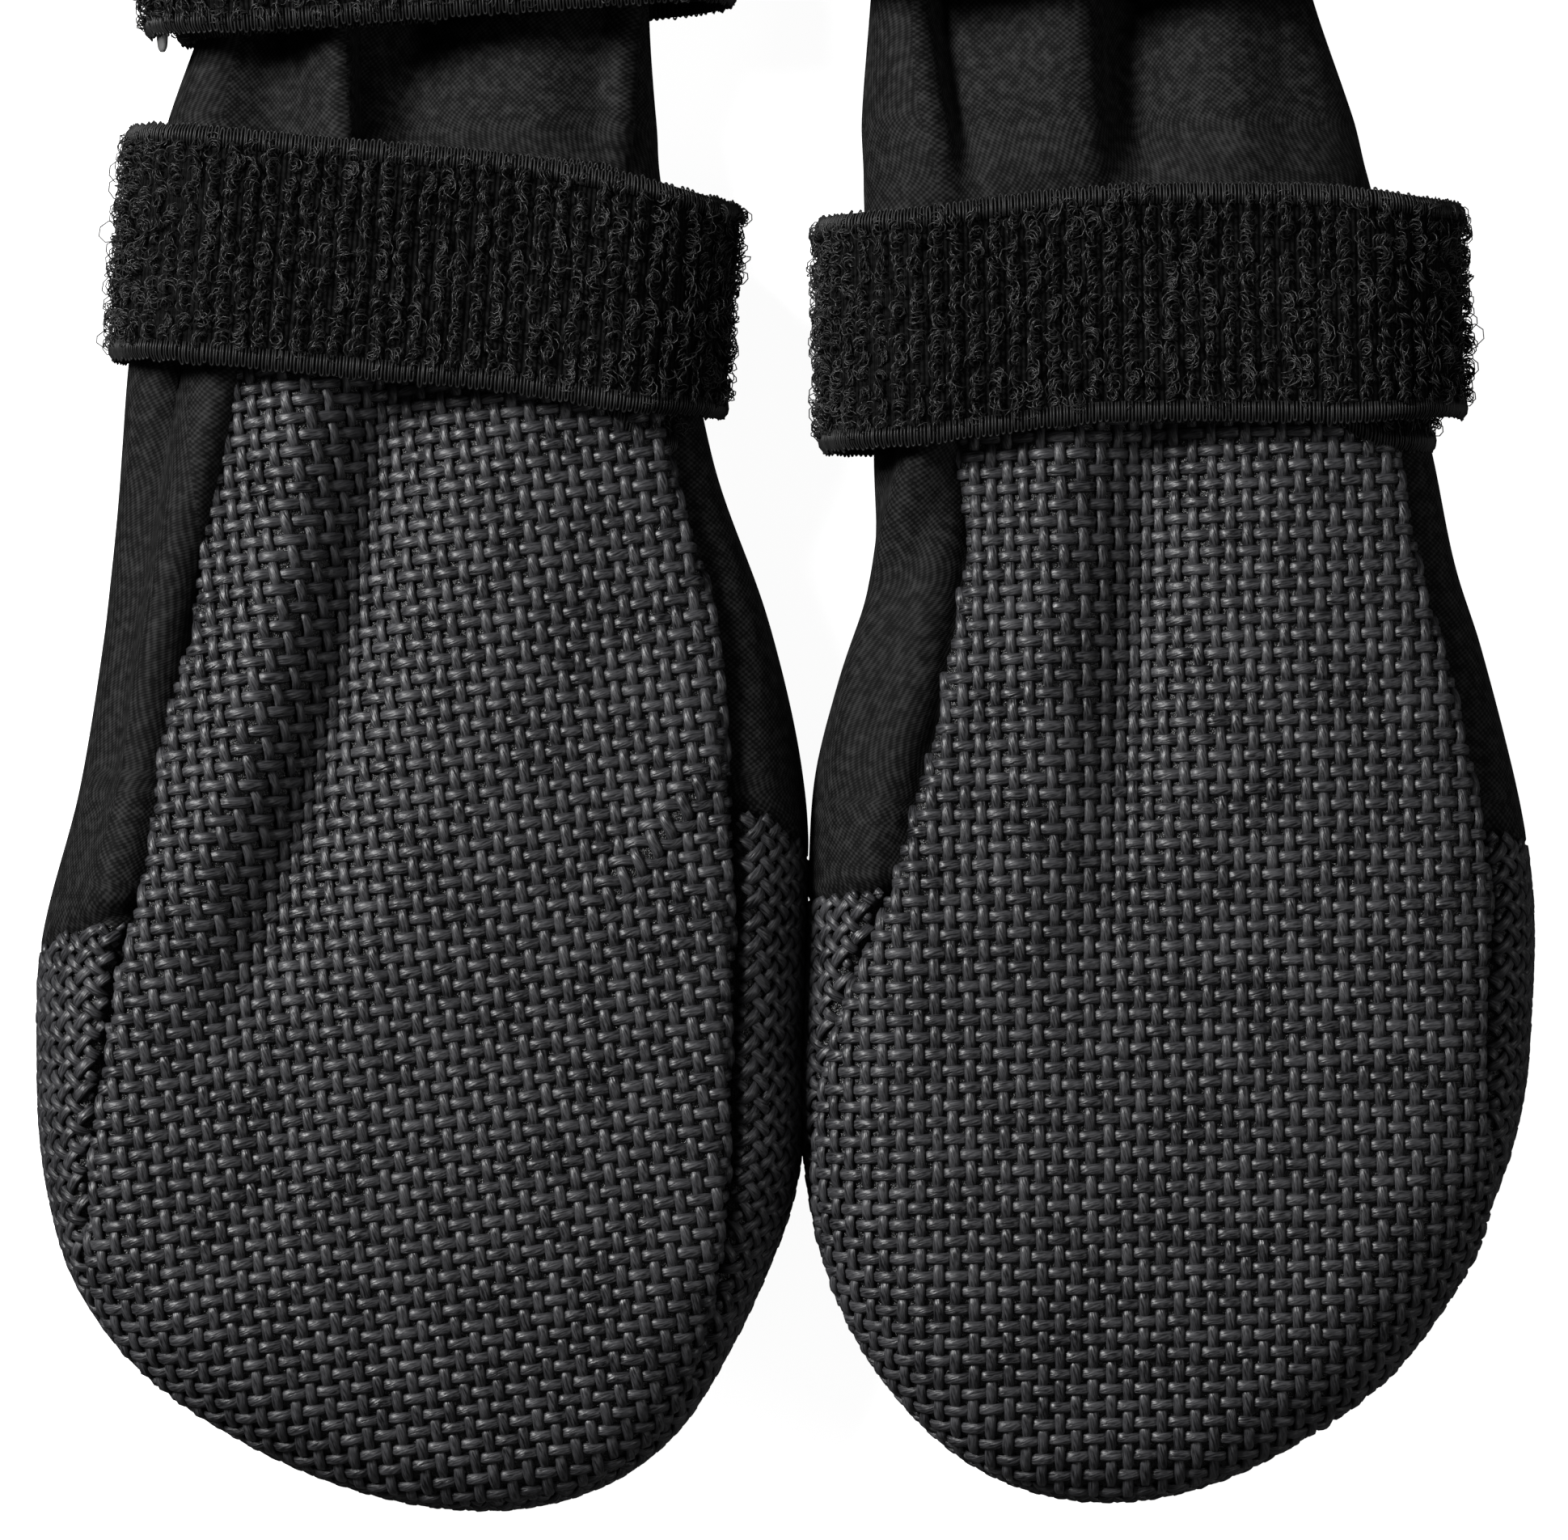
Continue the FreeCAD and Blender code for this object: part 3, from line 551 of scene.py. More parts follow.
class Boot:
    """One boot's outline and skin, with its sole panel's edge."""

    def __init__(self, side):
        shape = SHAPES[side]
        self.side, self.shape = side, shape
        self.toe_y, self.toe_length = shape["toe"]
        self.sole_folds, self.soft_folds = SOLE_FOLDS[side], SOFT_FOLDS[side]
        turn = np.linspace(0, math.pi / 2, 260)
        round_end = self.toe_length * (1 - np.cos(turn))
        straight = np.arange(self.toe_length + 0.4, FOOT_END + 6, 0.4)
        along = np.concatenate([round_end, straight])
        self.t = np.concatenate([along[:0:-1], along])
        self.hand = np.concatenate([-np.ones(len(along) - 1), np.ones(len(along))])
        self.hand[len(along) - 1] = 1
        x = self.middle(self.t) + self.hand * self.half(self.t)
        self.line = np.stack([x, self.t + self.toe_y], axis=1)
        tangent = unit(np.gradient(self.line, axis=0))
        self.normal = np.stack([tangent[:, 1], -tangent[:, 0]], axis=1)
        self.s = running_length(self.line)
        self.s -= self.s[len(along) - 1]
        self.reach = self.half_height(self.t)
        self.seam_angle = np.arcsin(np.clip(1 - self.margin(self.t, self.hand) / self.reach, 0, 0.999))

    def half(self, t):
        """Half the boot's width, t from the toe tip."""
        left_over = np.clip(1 - t / self.toe_length, 0, 1)
        return (curve(self.shape["half"], t) - SKIN_INSET * 0.6) * np.sqrt(1 - left_over ** 2)

    def middle(self, t):
        return curve(self.shape["centre"], t)

    def half_height(self, t):
        return (curve(TOP, t) - curve(LOW, t)) / 2 - SKIN_INSET

    def mid_height(self, t):
        return (curve(TOP, t) + curve(LOW, t)) / 2

    def margin(self, t, hand):
        """Width of the side wall seen outside the sole panel."""
        result = np.zeros(len(t))
        for sign, points in self.shape["margin"].items():
            result = np.where(hand == sign, curve(points, t), result)
        return result

    def sole_relief(self, x, y):
        """The sole's long folds, and the slow waves of limp cloth."""
        waves = np.sin(x / 5.3 + y / 17 + 1) * np.sin(y / 7.1 - x / 23) + 0.6 * np.sin(x / 9.7 - y / 5.9)
        return fold_height(self.sole_folds, x, y) + 0.22 * waves

    def nearest(self, u, v):
        """The outline's sample nearest each point, and how far inside it the point lies."""
        points = np.stack([np.ravel(u), np.ravel(v)], axis=1)
        found = np.empty(len(points), int)
        for start in range(0, len(points), 4096):
            part = points[start:start + 4096]
            gap = part[:, None] - self.line[None]
            found[start:start + 4096] = np.argmin((gap ** 2).sum(-1), axis=1)
        inside = ((self.line[found] - points) * self.normal[found]).sum(1)
        return found, inside

    def wrap(self, u, v):
        """Lay flat cloth over the sole side: points, normals and distance inside the sole's edge.

        Near the outline the cloth turns down round the side, so flat distance becomes an angle.
        """
        shape = np.shape(u)
        u, v = np.ravel(u), np.ravel(v)
        found, inside = self.nearest(u, v)
        reach, normal = self.reach[found], self.normal[found]
        angle = np.clip((reach - inside) / reach, 0, math.pi / 2)
        real_inside = np.where(inside < reach, reach * (1 - np.sin(angle)), inside)
        shift = inside - real_inside
        x = u + normal[:, 0] * shift
        y = v + normal[:, 1] * shift
        t = y - self.toe_y
        z = self.mid_height(t) + self.half_height(t) * np.cos(angle)
        relief = self.sole_relief(x, y)
        z = z + relief * np.cos(angle)
        tiny = 0.2
        slope_x = (self.sole_relief(x + tiny, y) - relief) / tiny
        slope_y = (self.sole_relief(x, y + tiny) - relief) / tiny
        up = np.cos(angle)
        out = np.sin(angle)
        lean_x = normal[:, 0] * out - slope_x * up
        lean_y = normal[:, 1] * out - slope_y * up
        normals = unit(np.stack([lean_x, lean_y, up], 1))
        from_edge = inside - reach * (1 - self.seam_angle[found])
        points = np.stack([x, y, z], axis=1)
        return points.reshape(*shape, 3), normals.reshape(*shape, 3), from_edge.reshape(shape)

    def wall(self, s, angle):
        """A point on the side wall: s along the outline, angle 0 at the top to pi underneath."""
        x = np.interp(s, self.s, self.line[:, 0])
        y = np.interp(s, self.s, self.line[:, 1])
        normal = unit(np.stack([np.interp(s, self.s, self.normal[:, k]) for k in (0, 1)], -1))
        t = np.interp(s, self.s, self.t)
        reach = np.interp(s, self.s, self.reach)
        inside = reach * (1 - np.sin(angle))
        place_t = t - normal[..., 1] * inside
        z = self.mid_height(place_t) + self.half_height(place_t) * np.cos(angle)
        points = np.stack([x - normal[..., 0] * inside, y - normal[..., 1] * inside, z], -1)
        normals = np.concatenate([normal * np.sin(angle)[..., None], np.cos(angle)[..., None]], -1)
        return points, normals, t, reach


# ---------------------------------------------------------------- coarse cloth

PITCH = 1.84                # between neighbouring yarns
SAMPLES_PER_PITCH = 4
YARN_SECTION = np.array([(1, 0), (0.62, 0.85), (-0.62, 0.85), (-1, 0), (-0.62, -0.85), (0.62, -0.85)])
YARN_LIFT = 0.31            # half the height between a yarn's tops and its dives
FLOAT_BIAS = 0.34           # keeps yarns up longer than they are down
FLOAT_FLATNESS = 0.5        # 1 is a plain wave; less makes flat floats with steep dives
SOLE_STANDS = 1.0           # how far the sole panel stands out over the side wall's cloth
EDGE_ROUND = 1.9            # radius over which the sole panel's edge turns in
GROUND_DROP = 0.16          # the coated ground lies this far below the yarns' middle
SPINE_START = 36.0          # a panel's ground fans out from a line that starts here
BALL = 50.0                 # widest part of the foot; all three are distances from the toe tip
SOLE_CENTRE = 70.0
CAP_CENTRE = 40.0


def weave(name, lay, reach, warp_angle, weft_angle, material):
    """Warp and weft as two objects of real yarns.

    lay(u, v) gives points, normals and where the cloth is, for flat coordinates from -reach to reach.
    """
    made = []
    step = PITCH / SAMPLES_PER_PITCH
    half = int(reach / PITCH)
    warp = np.array([math.sin(warp_angle), math.cos(warp_angle)])
    weft = np.array([math.cos(weft_angle), -math.sin(weft_angle)])
    directions = (("warp", warp, weft, 1, 0.54, 0.34), ("weft", weft, warp, -1, 0.58, 0.30))
    for label, run, beside, sign, half_width, half_height in directions:
        lines = np.arange(-half, half + 1)
        samples = np.arange(-half * SAMPLES_PER_PITCH, half * SAMPLES_PER_PITCH + 1)
        wander = random.normal(0, 0.05, (len(lines), 1)) + 0.05 * np.sin(
            samples[None] * 0.11 + random.uniform(0, 6, (len(lines), 1)))
        u = run[0] * samples * step + beside[0] * (lines[:, None] * PITCH + wander)
        v = run[1] * samples * step + beside[1] * (lines[:, None] * PITCH + wander)
        points, normals, keep = lay(u, v)
        wave = np.cos(math.pi * (samples[None] / SAMPLES_PER_PITCH + lines[:, None])) * sign
        wave = np.clip(wave + FLOAT_BIAS, -1, 1)
        beat = np.sign(wave) * np.abs(wave) ** FLOAT_FLATNESS
        noise = random.normal(0, 0.025, beat.shape)
        centres = points + normals * (YARN_LIFT * beat + noise)[..., None]
        swell = 1 + 0.12 * beat + random.normal(0, 0.03, (len(lines), 1))
        wide = half_width * swell
        high = half_height * swell
        maker = MeshMaker()
        add_tubes(maker, centres, normals, wide, high, keep, YARN_SECTION, step, lines * 3.7)
        made.append(maker.build(f"{name}_{label}", material))
    return made


def edge_drop(from_edge):
    """How far a turned-in edge sinks, by distance inside it."""
    left_over = np.clip(1 - from_edge / EDGE_ROUND, 0, 1)
    return EDGE_ROUND * (1 - np.sqrt(1 - left_over ** 2)) * 1.25


def sole_cloth(boot, u, v):
    """The sole panel's middle surface, for flat coordinates about the boot's own middle."""
    points, normals, from_edge = boot.wrap(u + boot.middle(BALL), v + boot.toe_y + SOLE_CENTRE)
    raised = SOLE_STANDS - edge_drop(from_edge)
    keep = (from_edge > 0) & (points[..., 1] < boot.toe_y + FOOT_END)
    return points + normals * raised[..., None], normals, keep


def fan_sheet(name, boot, edge, lay, material):
    """A sheet from an edge line in to the boot's spine, as the ground behind a panel's yarns."""
    spine_t = np.clip(edge[:, 1] - boot.toe_y, SPINE_START, FOOT_END)
    spine = np.stack([boot.middle(spine_t), spine_t + boot.toe_y], axis=1)
    share = np.linspace(0, 1, 26) ** 1.3
    flat = edge[:, None] + (spine - edge)[:, None] * share[None, :, None]
    points, normals, _ = lay(flat[..., 0], flat[..., 1])
    points = points - normals * GROUND_DROP
    maker = MeshMaker()
    add_grid(maker, points, flat)
    made = maker.build(name, material)
    merge_close_points(made)
    return made


def flat_edge(boot, inside):
    """Flat coordinates of a line at the given distances inside the outline."""
    return boot.line - boot.normal * np.asarray(inside)[:, None]


def sole_panel(boot, yarn, coating):
    """The sole: yarns over a coated ground."""
    def lay(u, v):
        return sole_cloth(boot, u, v)

    def lay_ground(u, v):
        return sole_cloth(boot, u - boot.middle(BALL), v - boot.toe_y - SOLE_CENTRE)

    angles = (math.radians(boot.shape["warp"]), math.radians(boot.shape["weft"]))
    pieces = weave(f"{boot.side}_sole", lay, 84, *angles, yarn)
    edge = flat_edge(boot, boot.reach * (1 - boot.seam_angle) + 0.15)
    used = boot.t < FOOT_END
    ground = fan_sheet(f"{boot.side}_sole_ground", boot, edge[used], lay_ground, coating)
    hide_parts(f"{boot.side}_sole_panel")
    margins = 14.0
    width = 2 * float(boot.half(np.array(BALL))) - margins
    return [ground, *pieces]


GROOVE = 2.3                # depth of the dip that the sole panel's edge is sewn in
GROOVE_GAP = 0.9            # bare ground between the sole panel's edge and the side wall's yarns
WALL_END = 0.90 * math.pi   # how far round the side wall goes, where pi is straight underneath


def cap_limit(boot, s, angle):
    """How far from the toe tip the cap's seam lies; it slopes toward the toe as it goes round."""
    left_top, left_side = boot.shape["cap_seam"][-1]
    right_top, right_side = boot.shape["cap_seam"][1]
    share = angle / (math.pi / 2)
    left = left_top + (left_side - left_top) * share
    right = right_top + (right_side - right_top) * share
    return np.where(s < 0, left, right)


def wall_groove(boot, s, angle, reach):
    """The dip in which the sole panel's edge is sewn."""
    seam = np.interp(s, boot.s, boot.seam_angle)
    away = (angle - seam) * reach
    return seam, -GROOVE * np.exp(-(away / 1.3) ** 2)


def cap_wall(boot, yarn, coating):
    """The toe cap's side wall, cut on the bias, from the sole's seam round to underneath."""
    mean_reach = 12.0

    def lay(u, v):
        s = (u - v) / math.sqrt(2)
        angle = (u + v) / math.sqrt(2) / mean_reach + math.pi / 2
        points, normals, t, reach = boot.wall(s, np.clip(angle, 0, math.pi))
        seam, groove = wall_groove(boot, s, angle, reach)
        keep = (angle > seam + GROOVE_GAP / reach) & (angle < WALL_END) & (t < cap_limit(boot, s, angle))
        return points + normals * groove[..., None], normals, keep

    pieces = weave(f"{boot.side}_cap_wall", lay, 150, 0.0, 0.0, yarn)
    t_end = max(boot.shape["cap_seam"][-1][0], boot.shape["cap_seam"][1][0])
    s = boot.s[boot.t < t_end]
    s = np.linspace(s[0], s[-1], 260)[:, None]
    share = np.linspace(0, 1, 30)[None]
    seam = np.interp(s, boot.s, boot.seam_angle)
    angle = seam + (WALL_END + 0.04 - seam) * share
    around = s + 0 * share
    _, _, t, _ = boot.wall(around, angle)
    over = np.maximum(t - cap_limit(boot, around, angle) + 0.5, 0)
    points, normals, _, reach = boot.wall(around - np.sign(s) * over, angle)
    _, groove = wall_groove(boot, around, angle, reach)
    maker = MeshMaker()
    add_grid(maker, points + normals * (groove - GROUND_DROP)[..., None],
             np.stack([around, angle * reach], -1))
    ground = maker.build(f"{boot.side}_cap_wall_ground", coating)
    merge_close_points(ground)
    return ground, pieces


def underside_limit(boot, x):
    """The cap's seam across the boot's underside, from one side wall's end to the other's."""
    left, right = (cap_limit(boot, sign, math.pi) for sign in (-1, 1))
    share = (x - boot.middle(CAP_CENTRE)) / (2 * boot.half(CAP_CENTRE)) + 0.5
    return left + (right - left) * np.clip(share, 0, 1)


def cap_underside(boot, yarn, coating):
    """The toe cap's face on the boot's other side, also on the bias."""
    start = boot.reach * (1 - math.sin(WALL_END)) - 1.2

    def place(u, v):
        found, inside = boot.nearest(u, v)
        inside = inside.reshape(np.shape(u))
        reach = boot.reach[found].reshape(np.shape(u))
        begin = start[found].reshape(np.shape(u))
        t = v - boot.toe_y
        round_off = np.sqrt(np.clip(1 - (1 - np.clip(inside / reach, 0, 1)) ** 2, 0, 1))
        z = boot.mid_height(t) - boot.half_height(t) * round_off
        keep = (inside > begin) & (t < underside_limit(boot, u))
        points = np.stack([u, v, z], -1)
        down = np.zeros(points.shape)
        down[..., 2] = -1
        return points, down, keep

    def lay(u, v):
        return place(u + boot.middle(CAP_CENTRE), v + boot.toe_y + CAP_CENTRE)

    pieces = weave(f"{boot.side}_cap_underside", lay, 62, math.pi / 4, math.pi / 4, yarn)
    edge = flat_edge(boot, start)
    edge = edge[edge[:, 1] - boot.toe_y < underside_limit(boot, edge[:, 0])]
    spine_t = np.maximum(edge[:, 1] - boot.toe_y, SPINE_START)
    spine = np.stack([boot.middle(spine_t), spine_t + boot.toe_y], axis=1)
    share = np.linspace(0, 1, 40)
    flat = edge[:, None] + (spine - edge)[:, None] * share[None, :, None]
    points, normals, _ = place(flat[..., 0], flat[..., 1])
    maker = MeshMaker()
    add_grid(maker, (points - normals * GROUND_DROP)[:, ::-1], flat[:, ::-1])
    ground = maker.build(f"{boot.side}_cap_underside_ground", coating)
    merge_close_points(ground)
    return ground, pieces


def toe_cap(boot, yarn, coating):
    """The toe cap, as its side wall and its underside."""
    wall_ground, wall_yarns = cap_wall(boot, yarn, coating)
    under_ground, under_yarns = cap_underside(boot, yarn, coating)
    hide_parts(f"{boot.side}_toe_cap")
    width = 2 * float(boot.half(np.array(BALL))) * 0.86
    return [wall_ground, under_ground, *wall_yarns, *under_yarns]


# ---------------------------------------------------------------- softshell

SOFTSHELL_START = 43.0      # from the toe tip; the first stretch is tucked under the toe cap
SOFTSHELL_INSET = 0.35
LEG_TOP = 98.5
HEM = 6.0
COUNT_TOP, COUNT_SIDE, COUNT_UNDER = 120, 34, 80


def tube_ring(boot, y, inset):
    """One ring of the softshell: across the sole side, round +X, underneath, and round -X."""
    t = np.array(y - boot.toe_y)
    half, middle = float(boot.half(t)) - inset, float(boot.middle(t))
    reach = float(boot.half_height(t)) - inset
    centre_z = float(boot.mid_height(t))
    flat = half - reach
    turn = np.linspace(0, math.pi, COUNT_SIDE + 2)[1:-1]
    x = np.concatenate([
        np.linspace(-flat, flat, COUNT_TOP),
        flat + reach * np.sin(turn),
        np.linspace(flat, -flat, COUNT_UNDER),
        -flat - reach * np.sin(turn),
    ])
    z = np.concatenate([
        np.full(COUNT_TOP, reach),
        reach * np.cos(turn),
        np.full(COUNT_UNDER, -reach),
        -reach * np.cos(turn),
    ])
    out = np.concatenate([
        np.stack([np.zeros(COUNT_TOP), np.ones(COUNT_TOP)], 1),
        np.stack([np.sin(turn), np.cos(turn)], 1),
        np.stack([np.zeros(COUNT_UNDER), -np.ones(COUNT_UNDER)], 1),
        np.stack([-np.sin(turn), -np.cos(turn)], 1),
    ])
    return middle + x, np.full(len(x), y), centre_z + z, out


def softshell_growth(boot, x, y, out):
    """How far each point of a softshell ring moves outward: folds, seams, creases and tucks."""
    t = y - boot.toe_y
    up, down = np.clip(out[:, 1], 0, 1), np.clip(-out[:, 1], 0, 1)
    middle = boot.middle(np.array(t))
    hand = np.sign(x - middle)
    inside = boot.half(np.array(t)) - np.abs(x - middle)
    past_edge = inside - boot.margin(np.full(len(x), t), hand)
    near_seam = np.exp(-(past_edge / 1.8) ** 2)
    hidden = ease(past_edge / 2.5) * (out[:, 1] > 0.2)
    under_sole = 1 - float(ease((t - FOOT_END + 4) / 6))
    below_sole = boot.sole_relief(x, np.full(len(x), y)) - 2.4
    rise = fold_height(boot.soft_folds, x, np.full(len(x), y)) * up * (1 - under_sole * hidden)
    rise = rise + under_sole * up * (below_sole * hidden - GROOVE * near_seam)
    angle = np.arccos(np.clip(out[:, 1], -1, 1))
    tuck = 1.9 * ease((cap_limit(boot, hand, angle) + 1.0 - t) / 1.5)
    seam_ridge = 0.35 * np.exp(-(out[:, 1] / 0.10) ** 2) * ease((y - 46) / 6)
    creases = 0.5 * np.sin(y * 0.55 + 0.06 * x) * down * np.exp(-((y - 50) / 14) ** 2)
    soft = 0.25 * np.sin(0.21 * x + 0.13 * y) * np.sin(0.09 * y + 0.4) * np.abs(out[:, 1])
    return rise + seam_ridge + creases - 0.5 * down + soft * (up + 0.6 * down) - tuck


def softshell_tube(boot, cloth):
    """Foot sides, underside and leg in one cloth tube, with its folds and side seams."""
    rows = np.arange(boot.toe_y + SOFTSHELL_START, LEG_TOP + 0.01, 0.75)
    points, flat = [], []
    for y in rows:
        x, ys, z, out = tube_ring(boot, y, SOFTSHELL_INSET)
        grow = softshell_growth(boot, x, y, out)
        ring = np.stack([x + out[:, 0] * grow, ys, np.maximum(z + out[:, 1] * grow, 0.7)], 1)
        points.append(ring)
        flat.append(np.stack([running_length(ring), ys], 1))
    maker = MeshMaker()
    add_grid(maker, np.array(points), np.array(flat), around=True)
    made = maker.build(f"{boot.side}_softshell", cloth)
    thicken = made.modifiers.new("cloth", "SOLIDIFY")
    thicken.thickness = 0.9 * MM
    thicken.offset = 1.0
    return made, float(rows[-1] - rows[0])


def folded_ring(boot, y, out_by):
    """A ring that follows the leg's folds from a little way outside them, and its normals."""
    x, ys, z, out = tube_ring(boot, y, SOFTSHELL_INSET)
    grow = fold_height(boot.soft_folds, x, ys) * np.clip(out[:, 1], 0, 1) + out_by
    return np.stack([x + out[:, 0] * grow, ys, z + out[:, 1] * grow], 1), out


def hem_ring(boot, cloth, thread):
    """The doubled hem round the opening, with its row of stitches."""
    profile = [(-HEM, 0.2), (-HEM + 0.2, 0.9), (-HEM + 1.6, 1.0), (-HEM + 2.2, 0.75), (-HEM + 2.8, 1.05),
               (-1.2, 1.15), (-0.3, 0.95), (0.0, 0.4), (-0.3, -0.9), (-1.2, -1.2), (-HEM, -1.0)]
    points, flat = [], []
    for n, (back, out_by) in enumerate(profile):
        ring, _ = folded_ring(boot, LEG_TOP + back, out_by)
        points.append(ring)
        flat.append(np.stack([running_length(ring), np.full(len(ring), n * 0.9)], 1))
    maker = MeshMaker()
    add_grid(maker, np.array(points)[:, ::-1], np.array(flat)[:, ::-1], around=True)
    hem = maker.build(f"{boot.side}_hem", cloth)
    line, out = folded_ring(boot, LEG_TOP - HEM + 2.2, 0.95)
    stitches = stitch_row(f"{boot.side}_hem_stitches", line, out, thread)
    return hem, stitches


def stitch_row(name, line, out, thread):
    """Thread dashes along a closed line: 2.2 mm stitches with 0.5 mm between them."""
    length = running_length(line)
    starts = np.arange(0.3, length[-1] - 2.4, 2.7)
    share = np.linspace(0, 1, 7)
    at = starts[:, None] + 2.2 * share[None]
    centres = np.stack([np.interp(at, length, line[:, k]) for k in range(3)], -1)
    normals = np.stack([np.interp(at, length, out[:, 0]), 0 * at, np.interp(at, length, out[:, 1])], -1)
    normals = unit(normals)
    arch = (np.sin(math.pi * share) ** 0.5)[None]
    centres = centres + normals * (0.16 * arch - 0.12)[..., None]
    maker = MeshMaker()
    size = np.full(at.shape, 0.17)
    add_tubes(maker, centres, normals, size, size, np.ones(at.shape, bool), circle(6), 0.37, starts)
    return maker.build(name, thread)


# ---------------------------------------------------------------- straps

TAPE_WIDTH, TAPE_THICK = 25.5, 2.4
HOOK_THICK, CLEARANCE = 0.8, 0.3
STRAPS = {
    # (place X, place Y, turn in degrees, ring width, height inside the ring, how the free end, the
    # held end and the turned side shift along Y, in millimetres)
    ("left", "ankle"): (-39.0, 35.2, -4.6, 69.8, 18.0, (-1.8, -5.4, 0.3)),
    ("right", "ankle"): (39.1, 31.1, 0.9, 72.9, 18.0, (-0.8, -3.4, -2.4)),
    ("left", "cuff"): (-38.5, 75.0, 184.0, 67.0, 13.0, (0.0, 0.0, 0.0)),
    ("right", "cuff"): (32.5, 79.0, 180.0, 62.0, 13.0, (0.0, 0.0, 0.0)),
}
PILE_COLUMN, PILE_ROW = 2.1, 1.75   # between tufts, along the tape and across it
FLOOR_GAP = 0.25            # the strap's pile is pressed flat where it lies on the table
PILE_HALF = 11.0            # half the width that carries loops; the selvedges lie outside it
RIB_PITCH = 0.70            # between the selvedges' loops


class Strap:
    """A strap's path in its own upright plane, with X along the tape and the peel line at X = 0."""

    def __init__(self, side, kind):
        self.side, self.kind = side, kind
        x, y, turn, ring, tube, self.shifts = STRAPS[side, kind]
        self.place, self.turn = (x, y), math.radians(turn)
        low = TAPE_THICK / 2
        inner = 1.5 * TAPE_THICK + 2 * CLEARANCE + tube
        outer = inner + TAPE_THICK + CLEARANCE + HOOK_THICK
        half = ring / 2 - TAPE_THICK / 2
        right_turn = outer - (low + inner) / 2
        left_turn = (outer - low) / 2
        right, left = half - right_turn, half - left_turn
        self.outer, self.right = outer, right
        quarter = math.pi / 2
        held = [line((0, inner), (right, inner)),
                arc((right, (low + inner) / 2), (inner - low) / 2, quarter, -quarter),
                line((right, low), (-left, low))]
        free = [arc((-left, (low + outer) / 2), left_turn, -quarter, -3 * quarter),
                line((-left, outer), (right, outer)),
                arc((right, (low + inner) / 2), right_turn, quarter, 0)]
        self.paths = {"held": np.concatenate(held), "free": np.concatenate(free)}

    def along(self, path, s):
        """Place, direction and outward direction at distance s along a path, in the plane."""
        line_points = self.paths[path]
        length = running_length(line_points)
        keep = np.concatenate([[True], np.diff(length) > 1e-6])
        length, line_points = length[keep], line_points[keep]
        tangents = unit(np.gradient(line_points, axis=0))
        place = np.stack([np.interp(s, length, line_points[:, k]) for k in (0, 1)], -1)
        tangent = unit(np.stack([np.interp(s, length, tangents[:, k]) for k in (0, 1)], -1))
        return place, tangent, np.stack([-tangent[..., 1], tangent[..., 0]], -1)

    def length(self, path):
        """How long the tape's path is."""
        return float(np.linalg.norm(np.diff(self.paths[path], axis=0), axis=1).sum())

    def set_in_place(self, points, path):
        """From the strap's plane to the boot: the ends drift along Y, then the whole strap turns."""
        free_shift, held_shift, turned_shift = self.shifts
        x, y, z = points[..., 0], points[..., 1], points[..., 2]
        if path == "free":
            y = y * (1 - 0.08 * ease((x - 20) / 14)) + free_shift * ease((x - 4) / 28)
        else:
            y = y + held_shift * ease((x - 18) / 9)
        y = y + turned_shift * ease((-x - 2) / 28)
        c, s = math.cos(self.turn), math.sin(self.turn)
        z = np.maximum(z, FLOOR_GAP)
        return np.stack([self.place[0] + c * x - s * y, self.place[1] + s * x + c * y, z], -1)


def line(start, end):
    """Points along a straight run, 0.4 mm apart."""
    count = max(2, int(math.dist(start, end) / 0.4))
    return np.linspace(start, end, count)


def arc(centre, radius, first, last):
    """Points along an arc, 0.4 mm apart; angles from +X toward +Z."""
    count = max(2, int(abs(last - first) * radius / 0.4))
    angle = np.linspace(first, last, count)
    return np.stack([centre[0] + radius * np.cos(angle), centre[1] + radius * np.sin(angle)], 1)


def strap_space(strap, path, s, across, height):
    """Points in the strap's space for distance along, across, and height over the path."""
    place, _, out = strap.along(path, s)
    return np.stack([
        place[..., 0] + out[..., 0] * height,
        np.broadcast_to(across, np.shape(height)) + 0 * place[..., 0],
        place[..., 1] + out[..., 1] * height,
    ], -1)


def tape(strap, path, material):
    """The woven tape itself, a thin band with rounded edges."""
    step = 0.5
    s = np.arange(0, strap.length(path) + step, step)
    s = np.minimum(s, strap.length(path))
    half, thin = TAPE_WIDTH / 2, 0.45
    across = np.concatenate([np.linspace(-half + 0.3, half - 0.3, 20), [half, half],
                             np.linspace(half - 0.3, -half + 0.3, 20), [-half, -half]])
    height = np.concatenate([np.full(20, thin), [0.2, -0.2], np.full(20, -thin), [-0.2, 0.2]]) - 0.55
    rings = np.stack([strap_space(strap, path, np.full(len(across), at), across, height) for at in s])
    rings = strap.set_in_place(rings, path)
    flat = np.stack([np.repeat(s[:, None], len(across), 1), np.repeat(across[None], len(s), 0)], -1)
    maker = MeshMaker()
    add_bar(maker, rings, flat)
    made = maker.build(f"{strap.side}_{strap.kind}_{path}_tape", material)
    merge_close_points(made)
    return made


def bend_to_path(strap, path, s, across, along_by, across_by, height):
    """Points (or directions) given beside places on the path, as strap-plane coordinates.

    With across None the result is a direction rather than a place.
    """
    place, tangent, out = strap.along(path, s)
    x = tangent[:, None, 0] * along_by + out[:, None, 0] * height
    z = tangent[:, None, 1] * along_by + out[:, None, 1] * height
    if across is None:
        return np.stack([x, across_by, z], -1)
    return np.stack([place[:, None, 0] + x, across[:, None] + across_by, place[:, None, 1] + z], -1)


